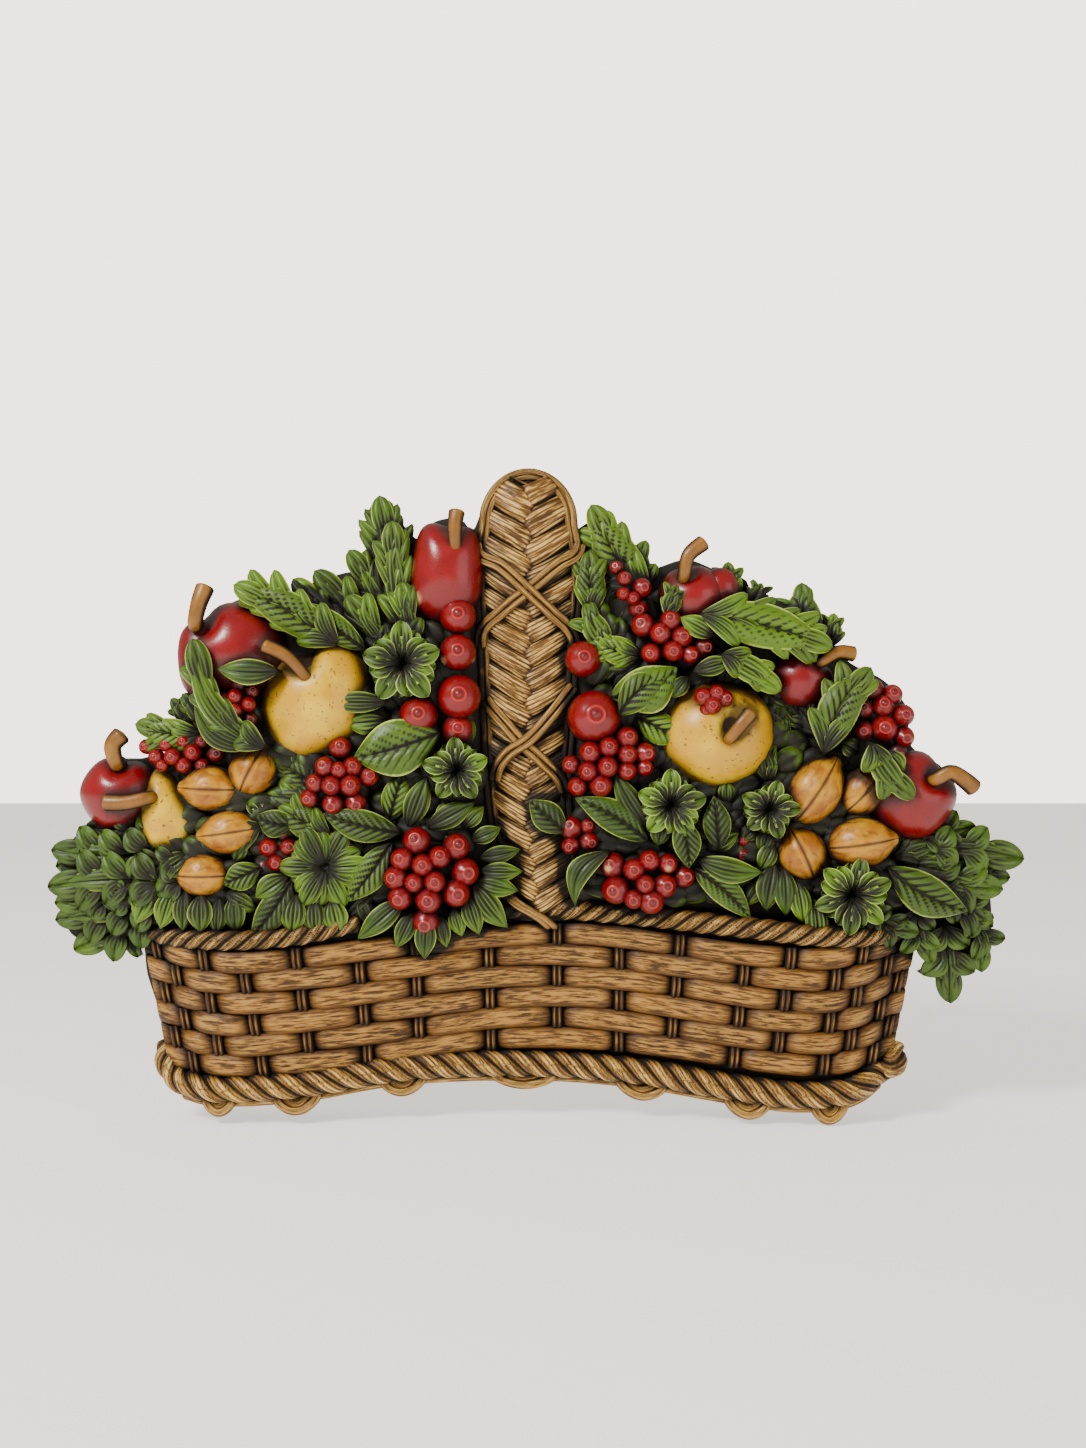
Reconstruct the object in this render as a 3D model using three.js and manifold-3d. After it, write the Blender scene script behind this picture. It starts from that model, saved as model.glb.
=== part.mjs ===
// Fruit-basket wall plaque: one moulded relief with a flat back.
//
// Millimetres. The back lies in the plane y = 0, against the wall, and the relief rises toward -y.
// +z is up, and the origin is on the back, behind the middle of the basket's handle.
// "lift" is a distance in front of the wall, so a point's y is minus its lift.

import * as THREE from 'three';
import { mergeVertices } from 'three/addons/utils/BufferGeometryUtils.js';
import Module from 'manifold-3d';

const wasm = await Module();
wasm.setup();

// ---- driving dimensions -------------------------------------------------------------------------

const PLATE_LIFT = 12;          // thickness of the plate that carries the relief
const HEAP_LIFT = 27;           // the heap under the fruit and leaves
const ROOT_LIFT = 5;            // how far back each relief form reaches, inside the plate

const ROWS = 6;                 // woven rows of the basket
const ROW_PITCH = 9.8;
const ROW_TOP = -98.5;          // centre of the top row, in the middle of the basket
const STRAND_RISE = 2.6;        // how far a strand stands out between two stakes
const BASKET_LEAN = 5;          // how much less the wall lifts at its foot than at its rim

const RIM_ROPE = { radius: 4.6, pitch: 14, slant: 1 };
const FOOT_ROPE = { radius: 6, pitch: 17, slant: -1 };
const CANE_RADIUS = 2;

const HANDLE_LIFT = 30;
const HANDLE_CENTRE = -5.5;
const PLAIT_PITCH = 14;
const PLAIT_TOP = 84;
const PLAIT_FOOT = -80;

const SLOT = { x: HANDLE_CENTRE, z: 56, rise: 14, headRadius: 6.5, neckWidth: 5.6, neckDepth: 4, depth: 12 };

const FINISH = { color: 0x8a6b42, roughness: 0.45, metalness: 0 };

// ---- curves that several parts share -----------------------------------------------------------

/** A smooth height over x, through [x, height] knots. */
function heightOver(knots) {
  const curve = new THREE.SplineCurve(knots.map(([x, h]) => new THREE.Vector2(x, h)));
  return (x) => {
    let low = 0;
    let high = 1;
    for (let i = 0; i < 24; i += 1) {
      const middle = (low + high) / 2;
      if (curve.getPoint(middle).x < x) low = middle;
      else high = middle;
    }
    return curve.getPoint(low).y;
  };
}

// the basket bellies out on each side of the handle, and turns back to the wall at its ends
const bellyLift = heightOver([
  [-192, 9], [-176, 22], [-150, 35], [-118, 36], [-70, 30], [-30, 24],
  [10, 22], [50, 26], [95, 35], [125, 38], [150, 33], [168, 20], [182, 9],
]);
const rowSag = heightOver([
  [-192, 4], [-172, 8], [-145, 10.5], [-110, 9], [-60, 4], [-15, 0],
  [20, 0], [70, 4.5], [110, 8.5], [135, 9], [158, 5], [182, 0],
]);
const rimHeight = heightOver([
  [-198, -95], [-177, -98.5], [-150, -99.5], [-110, -97], [-85, -92], [-45, -89],
  [9, -86.5], [50, -89.5], [94, -93.5], [137, -97.5], [175, -97],
]);
const footHeight = heightOver([
  [-176, -152], [-172, -162], [-160, -169], [-147, -168.5], [-110, -166.5], [-71, -161],
  [-18, -159.5], [45, -162.5], [93, -168.5], [122, -171], [150, -167], [161, -160], [166, -150],
]);
const handleHalfWidth = heightOver([[-90, 12], [-66, 14], [-35, 16], [2, 20], [39, 22.5], [76, 24], [96, 19]]);
const handleCentre = heightOver([[-90, 0], [-66, -2], [-35, HANDLE_CENTRE], [2, HANDLE_CENTRE], [96, HANDLE_CENTRE]]);

/** Lift of the basket's wall at x, on the row that is `down` rows below the top one. */
function wallLift(x, down) {
  return bellyLift(x) - (BASKET_LEAN * down) / ROWS;
}

// ---- solids --------------------------------------------------------------------------------------

/** The solid inside a closed three.js geometry. */
function solidOf(geometry) {
  geometry.deleteAttribute('normal');
  geometry.deleteAttribute('uv');
  const merged = mergeVertices(geometry, 1e-4);
  const points = merged.getAttribute('position');
  const [a, b, c] = [new THREE.Vector3(), new THREE.Vector3(), new THREE.Vector3()];
  const faces = [];
  let volume = 0;
  for (let i = 0; i < merged.index.count; i += 3) {
    const corners = [0, 1, 2].map((k) => merged.index.getX(i + k));
    if (new Set(corners).size < 3) continue;
    [a, b, c].forEach((corner, k) => corner.fromBufferAttribute(points, corners[k]));
    volume += a.dot(b.cross(c));
    faces.push(...corners);
  }
  if (volume < 0) faces.reverse();
  return new wasm.Manifold(new wasm.Mesh({
    numProp: 3,
    vertProperties: new Float32Array(points.array),
    triVerts: new Uint32Array(faces),
  }));
}

/** A straight-sided body of the given outline, from the lift `from` to the lift `to`. */
function slab(outline, from, to) {
  const geometry = new THREE.ExtrudeGeometry(outline, { depth: to - from, bevelEnabled: false, curveSegments: 8 });
  geometry.rotateX(Math.PI / 2);
  geometry.translate(0, -from, 0);
  return solidOf(geometry);
}

function outlineThrough(points) {
  return new THREE.Shape(points.map(([x, z]) => new THREE.Vector2(x, z)));
}

/**
 * A form that rises from the plate: a lathe turned about an axis that faces the room, with its
 * profile given as [share of the radius, lift], and with its outline stretched and scalloped.
 */
function boss({ x, z, halfLength, halfWidth, turn = 0, sides, profile, scallops = 0, cut = 0 }) {
  const rings = profile.map(([share, lift]) => new THREE.Vector2(share, lift));
  const geometry = new THREE.LatheGeometry(rings, sides, Math.PI / 2);
  geometry.rotateX(Math.PI);
  const points = geometry.getAttribute('position');
  for (let i = 0; i < points.count; i += 1) {
    const angle = Math.atan2(points.getZ(i), points.getX(i));
    const reach = 1 - (cut / 2) * (1 - Math.cos(scallops * angle));
    points.setX(i, points.getX(i) * reach * halfLength);
    points.setZ(i, points.getZ(i) * reach * halfWidth);
  }
  geometry.rotateY(turn);
  geometry.translate(x, 0, z);
  return solidOf(geometry);
}

/**
 * A bar with `steps` stretches along it and `across` over its width. place(u, v, w) puts its corners,
 * with u from 0 to 1, v 1 in front and -1 behind, and w from -1 to 1.
 */
function bar(steps, across, place) {
  const geometry = new THREE.BoxGeometry(1, 2, 2, steps, 1, across);
  const points = geometry.getAttribute('position');
  for (let i = 0; i < points.count; i += 1) {
    const at = place(points.getX(i) + 0.5, points.getY(i), points.getZ(i));
    points.setXYZ(i, at.x, at.y, at.z);
  }
  return solidOf(geometry);
}

/** A cane along a curve. */
function cane(curve, steps, radius, sides = 5) {
  const section = new THREE.Shape();
  for (let i = 0; i < sides; i += 1) {
    const angle = (2 * Math.PI * (i + 0.5)) / sides;
    section[i ? 'lineTo' : 'moveTo'](radius * Math.cos(angle), radius * Math.sin(angle));
  }
  return solidOf(new THREE.ExtrudeGeometry(section, { steps, extrudePath: curve, bevelEnabled: false }));
}

/** A strand as it shows between two crossings: a long bead from one point to another. */
function bead(from, to, halfWidth, halfDepth) {
  const along = to.clone().sub(from);
  const geometry = new THREE.OctahedronGeometry(1, 0);
  geometry.scale(along.length() / 2, halfDepth, halfWidth);
  const turn = new THREE.Quaternion().setFromUnitVectors(new THREE.Vector3(1, 0, 0), along.normalize());
  geometry.applyQuaternion(turn);
  const middle = from.clone().add(to).multiplyScalar(0.5);
  geometry.translate(middle.x, middle.y, middle.z);
  return solidOf(geometry);
}

const point = (x, lift, z) => new THREE.Vector3(x, -lift, z);

// ---- the plate and the heap -----------------------------------------------------------------------

function plate() {
  const edge = outlineThrough([
    [-26, 60], [-50, 70], [-66, 88], [-84, 72], [-104, 60], [-126, 50], [-150, 46], [-162, 24], [-178, -4],
    [-204, -22], [-212, -42], [-222, -62], [-222, -86], [-208, -98], [-193, -98], [-188, -118], [-176, -156],
    [-164, -168], [-146, -174], [-110, -172], [-70, -167], [-18, -166], [45, -168], [93, -174], [122, -177],
    [148, -172], [162, -158], [170, -130], [180, -112], [196, -118], [206, -96], [216, -66], [196, -48],
    [190, -22], [170, 8], [146, 22], [128, 50], [104, 50], [88, 66], [66, 70], [44, 68], [26, 88], [16, 60],
  ]);
  return slab(edge, 0, PLATE_LIFT);
}

function heap() {
  const edge = outlineThrough([
    [-28, 55], [-56, 66], [-92, 52], [-120, 44], [-146, 40], [-152, 12], [-176, -20], [-190, -46], [-190, -80],
    [-170, -92], [-60, -92], [0, -84], [60, -88], [170, -92], [184, -74], [180, -40], [162, -6], [140, 16],
    [116, 40], [88, 56], [52, 60], [18, 50],
  ]);
  return slab(edge, 2, HEAP_LIFT);
}

// ---- the basket -------------------------------------------------------------------------------------

// where each stake crosses the top row and the bottom row
const STAKES = [
  [-180, -168], [-171, -161], [-155, -147], [-137, -128], [-112, -106], [-84, -80], [-58, -56], [-24, -23], [8, 8],
  [37, 37], [65, 61], [95, 90], [115, 109], [137, 131], [149, 142], [164, 155], [173, 161],
];

function stakeAt(index, row) {
  const [top, foot] = STAKES[index];
  return top + ((foot - top) * row) / (ROWS - 1);
}

function rowHeight(x, row) {
  return ROW_TOP - ROW_PITCH * row - rowSag(x);
}

/** The woven wall: on each row the strand dips behind every second stake and stands out over the others. */
function wovenWall() {
  const columns = 2 * (STAKES.length - 1);
  const levels = 2 * ROWS;
  return bar(columns, levels, (u, v, w) => {
    const column = Math.round(u * columns);
    const level = Math.round(((1 - w) / 2) * levels);
    const row = (level - 1) / 2;
    const [left, right] = [Math.floor(column / 2), Math.ceil(column / 2)];
    const overhang = column === 0 ? -6 : 5 * (column === columns);
    const x = (stakeAt(left, row) + stakeAt(right, row)) / 2 + overhang;
    const crossing = left === right ? STRAND_RISE * ((left + row) % 2) : STRAND_RISE * 0.8;
    const rise = level % 2 ? crossing : -1.5;
    return point(x, v > 0 ? wallLift(x, row) + rise : ROOT_LIFT, rowHeight(x, row));
  });
}

/** A laid rope along x, ridged where each strand crosses its front at a slant. */
function rope({ radius, pitch, slant }, from, to, heightAt, liftAt) {
  const steps = 2 * Math.round((to - from) / pitch);
  return bar(steps, 2, (u, v, w) => {
    const x = from + (to - from) * u;
    const groove = Math.round(u * steps) % 2 ? 1 : 0.72;
    const crest = liftAt(x) + radius * (w === 0 ? 0.9 : 0.1) * groove;
    const swing = slant * w * pitch * 0.45;
    return point(x + swing, v > 0 ? crest : ROOT_LIFT, heightAt(x) + w * radius * (v > 0 ? groove : 0.9));
  });
}

function basketRopes() {
  const rimLift = (x) => bellyLift(x) + 2;
  const footLift = (x) => Math.max(bellyLift(x) - BASKET_LEAN, 8);
  return [
    rope(RIM_ROPE, -196, -84, rimHeight, rimLift),
    rope(RIM_ROPE, -6, 174, rimHeight, rimLift),
    rope(FOOT_ROPE, -172, 163, footHeight, footLift),
  ];
}

// the thin cane under the foot rope hangs down in a row of shallow loops, each [from, to, drop]
const LOOPS = [
  [-156, -142, 9], [-123, -102, 10], [-74, -54, 9], [-23, 8, 8], [36, 59, 9.5], [86, 106, 10], [126, 142, 10],
];

function caneLoops() {
  const lift = (x) => Math.max(bellyLift(x) - BASKET_LEAN - 4, 7);
  return LOOPS.map(([from, to, drop]) => {
    const knots = [0, 0.2, 0.5, 0.8, 1].map((share) => {
      const x = from + (to - from) * share;
      const hang = 4 + drop * Math.sin(Math.PI * share);
      return point(x, lift(x), footHeight(x) - hang);
    });
    return cane(new THREE.CatmullRomCurve3(knots), 3, CANE_RADIUS, 4);
  });
}

// ---- the handle -----------------------------------------------------------------------------------

function handleBody() {
  const steps = 9;
  const foot = -92;
  const crown = 96;
  const slice = (side) => bar(steps, 1, (u, v, w) => {
    const z = foot + (crown - foot) * u;
    const reach = w * side > 0 ? handleHalfWidth(z) : 0;
    const lift = reach ? HANDLE_LIFT - 9 : HANDLE_LIFT - 3;
    return point(handleCentre(z) + side * reach, v > 0 ? lift : 0, z);
  });
  return slice(-1).add(slice(1));
}

function handleCrown() {
  const arch = new THREE.Shape();
  arch.moveTo(HANDLE_CENTRE - 19, 92);
  arch.quadraticCurveTo(HANDLE_CENTRE - 16, 113, HANDLE_CENTRE - 2, 118.5);
  arch.quadraticCurveTo(HANDLE_CENTRE + 14, 113, HANDLE_CENTRE + 19, 92);
  return slab(arch, 0, HANDLE_LIFT - 8);
}

/** The plait's strands come down from both edges and meet on the centre line. */
function plait() {
  const pieces = [];
  for (let z = PLAIT_TOP; z > PLAIT_FOOT; z -= PLAIT_PITCH) {
    [-1, 1].forEach((side, n) => {
      const height = z - n * PLAIT_PITCH * 0.5;
      const outer = handleCentre(height) + side * handleHalfWidth(height);
      const foot = point(handleCentre(height) - side * 3, HANDLE_LIFT - 3, height - 8);
      const head = point(outer + side * 0.5, HANDLE_LIFT - 8, height + 7);
      pieces.push(bead(foot, head, PLAIT_PITCH * 0.48, 4.6));
    });
  }
  return pieces;
}

// binding canes that cross over the plait, each through [x, z] points
const BINDINGS = [
  [[18, 79], [9, 74], [-3, 63], [-18, 52], [-29, 40]],
  [[-30, 80], [-18, 74], [-7, 62], [6, 50], [15, 40]],
  [[-26, 10], [-16, -1], [-8, -9], [2, -19], [12, -29]],
  [[14, 16], [6, 4], [-5, -7], [-16, -16], [-21, -22]],
];

function bindings() {
  return BINDINGS.map((knots) => {
    const curve = new THREE.CatmullRomCurve3(knots.map(([x, z]) => {
      const edge = Math.abs(x - HANDLE_CENTRE) / 24;
      return point(x, HANDLE_LIFT + 1 - 7 * edge * edge, z);
    }));
    return cane(curve, 3, 3.2, 4);
  });
}

/** What the pieces that hang the plaque need: a keyhole for a screw's head, cut into the back. */
function keyhole() {
  const { x, z, rise, headRadius, neckWidth, neckDepth, depth } = SLOT;
  const entry = new THREE.Shape().absarc(x, z, headRadius, 0, 2 * Math.PI);
  const run = (halfWidth) => {
    const shape = new THREE.Shape();
    shape.moveTo(x + halfWidth, z);
    shape.lineTo(x + halfWidth, z + rise);
    shape.absarc(x, z + rise, halfWidth, 0, Math.PI);
    shape.lineTo(x - halfWidth, z);
    return shape;
  };
  return slab(entry, -1, depth)
    .add(slab(run(neckWidth / 2), -1, neckDepth + 1))
    .add(slab(run(headRadius), neckDepth, depth));
}

// ---- fruit, nuts and berries ------------------------------------------------------------------------

/** Profile of a round form that shows `lift` in front of the wall and swells `depth` behind that. */
function roundProfile(lift, depth, dimple = 0) {
  const rings = [[0, lift - dimple]];
  for (const angle of [32, 64]) {
    const radians = THREE.MathUtils.degToRad(angle);
    rings.push([Math.sin(radians), lift - depth * (1 - Math.cos(radians))]);
  }
  rings.push([1, lift - depth], [1, ROOT_LIFT], [0, ROOT_LIFT]);
  return rings;
}

// [x, z, half width, half height, lift, lean in degrees]
const LARGE_FRUIT = [
  [-44, 73, 16, 22, 40, 6], [-143, 34, 25.5, 23, 46, 0], [-198, -33, 18, 18, 32, 0],
  [-174, -47, 15, 15, 34, 0], [-176, -30, 10, 12, 28, 0], [-104, 13, 24, 28.5, 46, -18],
  [72, 60, 15.5, 15.5, 38, 0], [84, 64, 9, 10, 30, 0], [123, 22, 14, 14, 38, 0],
  [174, -33, 20.5, 20.5, 42, 0], [82, -5, 27.5, 25, 46, 0],
];
const CRAB_APPLES = [
  [-38, 50, 8.5, 36], [-38, 33, 8.5, 38], [-37.5, 12.5, 10, 40], [-56, 4, 8.5, 40], [20, 30, 8.5, 38],
  [25, 3, 12, 44], [-37, -1, 6.5, 38],
];
// [x, z, half length, half width, lift, direction of the tip in degrees]
const WALNUTS = [
  [-133, -21, 11.5, 11.5, 38, 60], [-153, -30, 13, 11, 38, 180], [-144, -50, 13, 10, 40, 190],
  [-156, -70, 12, 10, 38, 180], [127, -31, 16.5, 12.5, 42, 55], [150, -31, 12, 10, 38, 45],
  [121, -60, 12, 12, 40, 120], [148, -55, 15, 12, 42, 10],
];

function largeFruit([x, z, halfWidth, halfHeight, lift, lean]) {
  const turn = THREE.MathUtils.degToRad(-lean);
  const depth = Math.min(halfWidth, halfHeight) * 0.9;
  const profile = roundProfile(lift, depth);
  return boss({ x, z, halfLength: halfWidth, halfWidth: halfHeight, turn: -turn, sides: 9, profile });
}

function crabApple([x, z, radius, lift]) {
  const profile = [[0, lift - 1.5], [0.3, lift], [0.85, lift - radius * 0.5], [0.9, ROOT_LIFT], [0, ROOT_LIFT]];
  return boss({ x, z, halfLength: radius, halfWidth: radius, sides: 7, profile });
}

/** A walnut stands up along its seam and comes to a tip. */
function walnut([x, z, halfLength, halfWidth, lift, direction]) {
  const profile = [[0, lift], [0.6, lift - 2], [1, lift - halfWidth * 0.7], [1, ROOT_LIFT], [0, ROOT_LIFT]];
  const turn = THREE.MathUtils.degToRad(direction);
  return boss({ x, z, halfLength, halfWidth, turn: -turn, sides: 7, profile });
}

// the larger berries of each cluster, [x, z, radius], and the lift of the cluster
const CLUSTERS = [
  [40, [[-92, -11, 4.8], [-87, -28, 4.6], [-95, -37, 4.4], [-85, -36, 4.6]]],
  [42, [[-57, -54, 6], [-39, -57, 5.5], [-46, -62, 4.8], [-63, -62, 4.8], [-54, -66, 4.6],
    [-34, -68, 6], [-66, -71, 5], [-47, -73, 4.6], [-64, -80, 5], [-51, -81, 5.5], [-38, -78, 5.8],
    [-52, -91, 5.8]]],
  [40, [[47, 45, 5], [60, 47, 4.4], [56, 40, 4.6], [66, 40, 4.4], [62, 33, 4.4], [75, 35, 4.6]]],
  [42, [[23, -13, 4.6], [40, -6, 4.6], [48, -13, 4.6], [31, -20, 4.4], [28, -28, 5]]],
  [42, [[14, -49, 4.8]]],
  [42, [[34, -64, 5.5], [43, -67, 4.6], [50, -62, 4.4], [66, -70, 4.6], [57, -74, 5], [35, -76, 6],
    [51, -81, 5.4]]],
  [34, [[155, 16, 4.6], [163, 13, 4.4], [159, 8, 4.8], [168, 4, 4.6], [159, -2, 5.8], [169, -6, 4.6]]],
];

function berry(x, z, radius, lift) {
  const profile = [[0, lift], [0.92, lift - radius * 0.62], [0.86, ROOT_LIFT], [0, ROOT_LIFT]];
  return boss({ x, z, halfLength: radius, halfWidth: radius, sides: 5, profile });
}

function berries() {
  return CLUSTERS.flatMap(([lift, places]) => places.map(([x, z, radius]) => berry(x, z, radius, lift)));
}

// ---- leaves -------------------------------------------------------------------------------------------

// [base x, base z, tip x, tip z, width, lift, lobes]; a leaf with no lobes is a plain oval
const LEAVES = [
  [-62, 39, -75, 104, 28, 20, 6], [-62, 41, -72, 90, 20, 30, 6], [-64, 32, -104, 74, 16, 22, 6],
  [-67, 32, -91, 65, 14, 28, 6], [-94, 39, -141, 64, 19, 44, 6], [-83, 36, -112, 57, 12, 34, 0],
  [-46, -6, -85, -15, 21, 38, 0], [-70, -46, -63, -22, 12, 30, 0], [-61, -48, -52, -25, 12, 33, 0],
  [-52, -50, -33, -38, 11, 34, 0], [-64, -52, -99, -41, 14, 34, 0], [-99, -53, -119, -39, 17, 32, 0],
  [-68, -56, -88, -81, 14, 34, 0], [-62, -83, -83, -98, 11, 35, 0], [-31, -75, -16, -93, 12, 34, 0],
  [-104, -36, -125, -23, 18, 34, 6], [-117, -75, -132, -98, 12, 35, 0],
  [-172, -78, -182, -93, 12, 28, 4], [-159, -1, -187, 0, 17, 32, 6], [-121, 26, -144, 24, 12, 50, 0],
  [-126, -7, -148, 2, 12, 42, 4], [-146, 1, -159, 16, 12, 44, 4], [-157, 13, -161, 40, 12, 40, 4],
  [50, 65, 23, 101, 21, 24, 6], [24, 52, 23, 81, 15, 30, 6], [36, 38, 23, 54, 14, 34, 4],
  [46, 30, 28, 33, 14, 36, 4], [85, 43, 133, 36, 24, 43, 6], [94, 57, 89, 75, 13, 26, 4],
  [129, 40, 123, 65, 20, 30, 6], [84, 30, 109, 16, 14, 46, 6], [38, 5, 61, 22, 20, 40, 0],
  [44, 4, 62, -5, 14, 34, 0], [11, -51, -4, -36, 14, 38, 0], [53, -57, 17, -34, 14, 38, 0],
  [51, -49, 35, -24, 10, 38, 0], [64, -42, 68, -65, 12, 41, 0], [82, -59, 80, -34, 12, 38, 0],
  [70, -63, 101, -68, 11, 38, 0], [71, -72, 96, -89, 11, 37, 0], [107, -66, 107, -85, 14, 36, 4],
  [161, -68, 196, -86, 17, 34, 0], [168, -62, 184, -56, 13, 28, 4], [126, -14, 148, 25, 25, 38, 6],
  [151, -10, 169, -33, 12, 47, 6], [205, -62, 226, -64, 14, 18, 4], [192, -92, 178, -114, 8, 20, 0],
  [199, -88, 206, -122, 9, 20, 0], [191, -108, 193, -134, 19, 16, 6],
];

/** A leaf: highest along its middle, its edge cut into lobes. */
function leaf([baseX, baseZ, tipX, tipZ, width, lift, lobes]) {
  const length = Math.hypot(tipX - baseX, tipZ - baseZ);
  const edge = Math.min(width * 0.22, 4);
  return boss({
    x: (baseX + tipX) / 2,
    z: (baseZ + tipZ) / 2,
    halfLength: length / 2,
    halfWidth: width / 2,
    turn: -Math.atan2(tipZ - baseZ, tipX - baseX),
    sides: lobes ? lobes * 2 : 6,
    profile: [[0, lift], [1, lift - edge], [1, ROOT_LIFT], [0, ROOT_LIFT]],
    scallops: lobes,
    cut: lobes ? 0.3 : 0,
  });
}

// rosettes of small leaves, [x, z, radius, petals, lift]
const ROSETTES = [
  [-60, 24, 19, 8, 36], [-37, -19, 17, 7, 38], [-100, -67, 19, 8, 34], [60, -38, 16, 7, 38],
  [105, -39, 13.5, 6, 38], [143, -78, 18, 8, 38],
];

function rosette([x, z, radius, petals, lift]) {
  return boss({
    x,
    z,
    halfLength: radius,
    halfWidth: radius,
    sides: petals * 2,
    profile: [[0, lift - 3], [0.4, lift], [1, lift - 4], [1, ROOT_LIFT], [0, ROOT_LIFT]],
    scallops: petals,
    cut: 0.34,
  });
}

// sprays of small rounded leaflets at the two ends, [x, z, radius, lift]
const LEAFLETS = [
  [-212, -54, 6.5, 22], [-200, -51, 6.5, 26], [-215, -66, 7, 24], [-203, -69, 7, 28],
  [-193, -62, 6.5, 30], [-184, -70, 7.5, 32], [-225, -79, 6.5, 16], [-214, -80, 6.5, 24],
  [-203, -83, 7, 28], [-190, -80, 7, 30], [-210, -97, 7, 18], [-197, -97, 7.5, 22], [200, -62, 6.5, 24],
  [188, -70, 6.5, 30], [203, -75, 8.5, 24], [182, -92, 6.5, 26],
];

function leaflet([x, z, radius, lift]) {
  const profile = [[0, lift], [1, lift - 3], [1, ROOT_LIFT], [0, ROOT_LIFT]];
  return boss({ x, z, halfLength: radius, halfWidth: radius, sides: 5, profile });
}

// short fruit stalks, each [base x, base z, tip x, tip z, radius, base lift, tip lift]
const STALKS = [
  [-38, 84, -46, 103, 2.6, 36, 26], [-158, 47, -152, 62, 3, 42, 32], [-199, -22, -195, -5, 3, 28, 22],
  [-176, -33, -200, -37, 3, 30, 31], [-110, 26, -126, 35, 2, 44, 46], [67, 72, 75, 84, 2.6, 36, 28],
  [128, 31, 144, 32, 2.6, 30, 27], [182, -24, 190, -22, 2.6, 38, 38], [87, -3, 98, 7, 2.4, 46, 46],
];

function stalk([baseX, baseZ, tipX, tipZ, radius, baseLift, tipLift]) {
  const curve = new THREE.LineCurve3(point(baseX, baseLift - 3, baseZ), point(tipX, tipLift, tipZ));
  return cane(curve, 1, radius);
}

// ---- the plaque ------------------------------------------------------------------------------------------

function meshOf(solid, name, finish) {
  const { vertProperties, triVerts, numProp } = solid.getMesh();
  const geometry = new THREE.BufferGeometry();
  const points = new Float32Array((vertProperties.length / numProp) * 3);
  for (let i = 0; i * numProp < vertProperties.length; i += 1) {
    points.set(vertProperties.slice(i * numProp, i * numProp + 3), i * 3);
  }
  geometry.setAttribute('position', new THREE.BufferAttribute(points, 3));
  geometry.setIndex(new THREE.BufferAttribute(new Uint32Array(triVerts), 1));
  geometry.computeVertexNormals();
  const mesh = new THREE.Mesh(geometry, new THREE.MeshStandardMaterial(finish));
  mesh.name = name;
  return mesh;
}

const forms = [
  plate(),
  heap(),
  wovenWall(),
  ...basketRopes(),
  ...caneLoops(),
  handleBody(),
  handleCrown(),
  ...plait(),
  ...bindings(),
  ...LARGE_FRUIT.map(largeFruit),
  ...CRAB_APPLES.map(crabApple),
  ...WALNUTS.map(walnut),
  ...berries(),
  ...LEAVES.map(leaf),
  ...ROSETTES.map(rosette),
  ...LEAFLETS.map(leaflet),
  ...STALKS.map(stalk),
];
const relief = forms.reduce((whole, form) => whole.add(form));

const group = new THREE.Group();
group.add(meshOf(relief.subtract(keyhole()), 'plaque', FINISH));

export default group;
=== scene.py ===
# %% [markdown]
# # A moulded fruit-basket wall plaque
# The real plaque is one cast: a flat plate with a deep relief of a basket, its handle, fruit, nuts,
# berries and leaves. It was pulled from a rubber mould, painted in flat colours, and washed with dark
# brown that stayed in the hollows. It could be sculpted by hand in Blender. Here every form is a small
# grid of points worked out by a function, since that comes out the same each time and lets each point
# carry numbers that the paints read. Forms of one paint are gathered into one mesh.

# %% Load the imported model
import math

import bpy
import numpy as np
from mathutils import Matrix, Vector


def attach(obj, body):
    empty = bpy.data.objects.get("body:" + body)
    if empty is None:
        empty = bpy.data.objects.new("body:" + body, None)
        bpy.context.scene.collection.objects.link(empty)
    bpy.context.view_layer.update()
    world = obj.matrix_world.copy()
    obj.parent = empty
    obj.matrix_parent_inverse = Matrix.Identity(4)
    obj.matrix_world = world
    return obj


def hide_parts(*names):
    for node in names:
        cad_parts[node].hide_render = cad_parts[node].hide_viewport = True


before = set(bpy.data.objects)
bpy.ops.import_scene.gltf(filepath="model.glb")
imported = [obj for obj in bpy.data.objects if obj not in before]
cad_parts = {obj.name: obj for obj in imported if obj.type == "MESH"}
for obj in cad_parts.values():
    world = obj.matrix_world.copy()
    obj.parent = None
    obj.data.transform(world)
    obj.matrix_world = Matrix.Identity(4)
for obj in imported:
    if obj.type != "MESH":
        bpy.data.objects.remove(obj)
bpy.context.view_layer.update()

# %% [markdown]
# ## The camera
# The plaque is seen square on, from about three quarters of a metre, at the height of the middle of
# the handle. The lens is set by its length and by the height of its frame, since those two fix the
# spread of view whatever the shape of the picture.

# %% Camera
MM = 0.001
EYE = (1.4 * MM, -775 * MM, 0.0)
LENS_LENGTH, LENS_FRAME = 40.0, 36.0
FARTHEST_SEEN = 50

lens = bpy.data.cameras.new("eye")
lens.sensor_fit = "VERTICAL"
lens.sensor_height = LENS_FRAME
lens.lens = LENS_LENGTH
lens.clip_end = FARTHEST_SEEN
camera = bpy.data.objects.new("eye", lens)
camera.location = EYE
camera.rotation_euler = (math.radians(90), 0, 0)
bpy.context.scene.collection.objects.link(camera)
bpy.context.scene.camera = camera
print("camera at", EYE)
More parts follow.
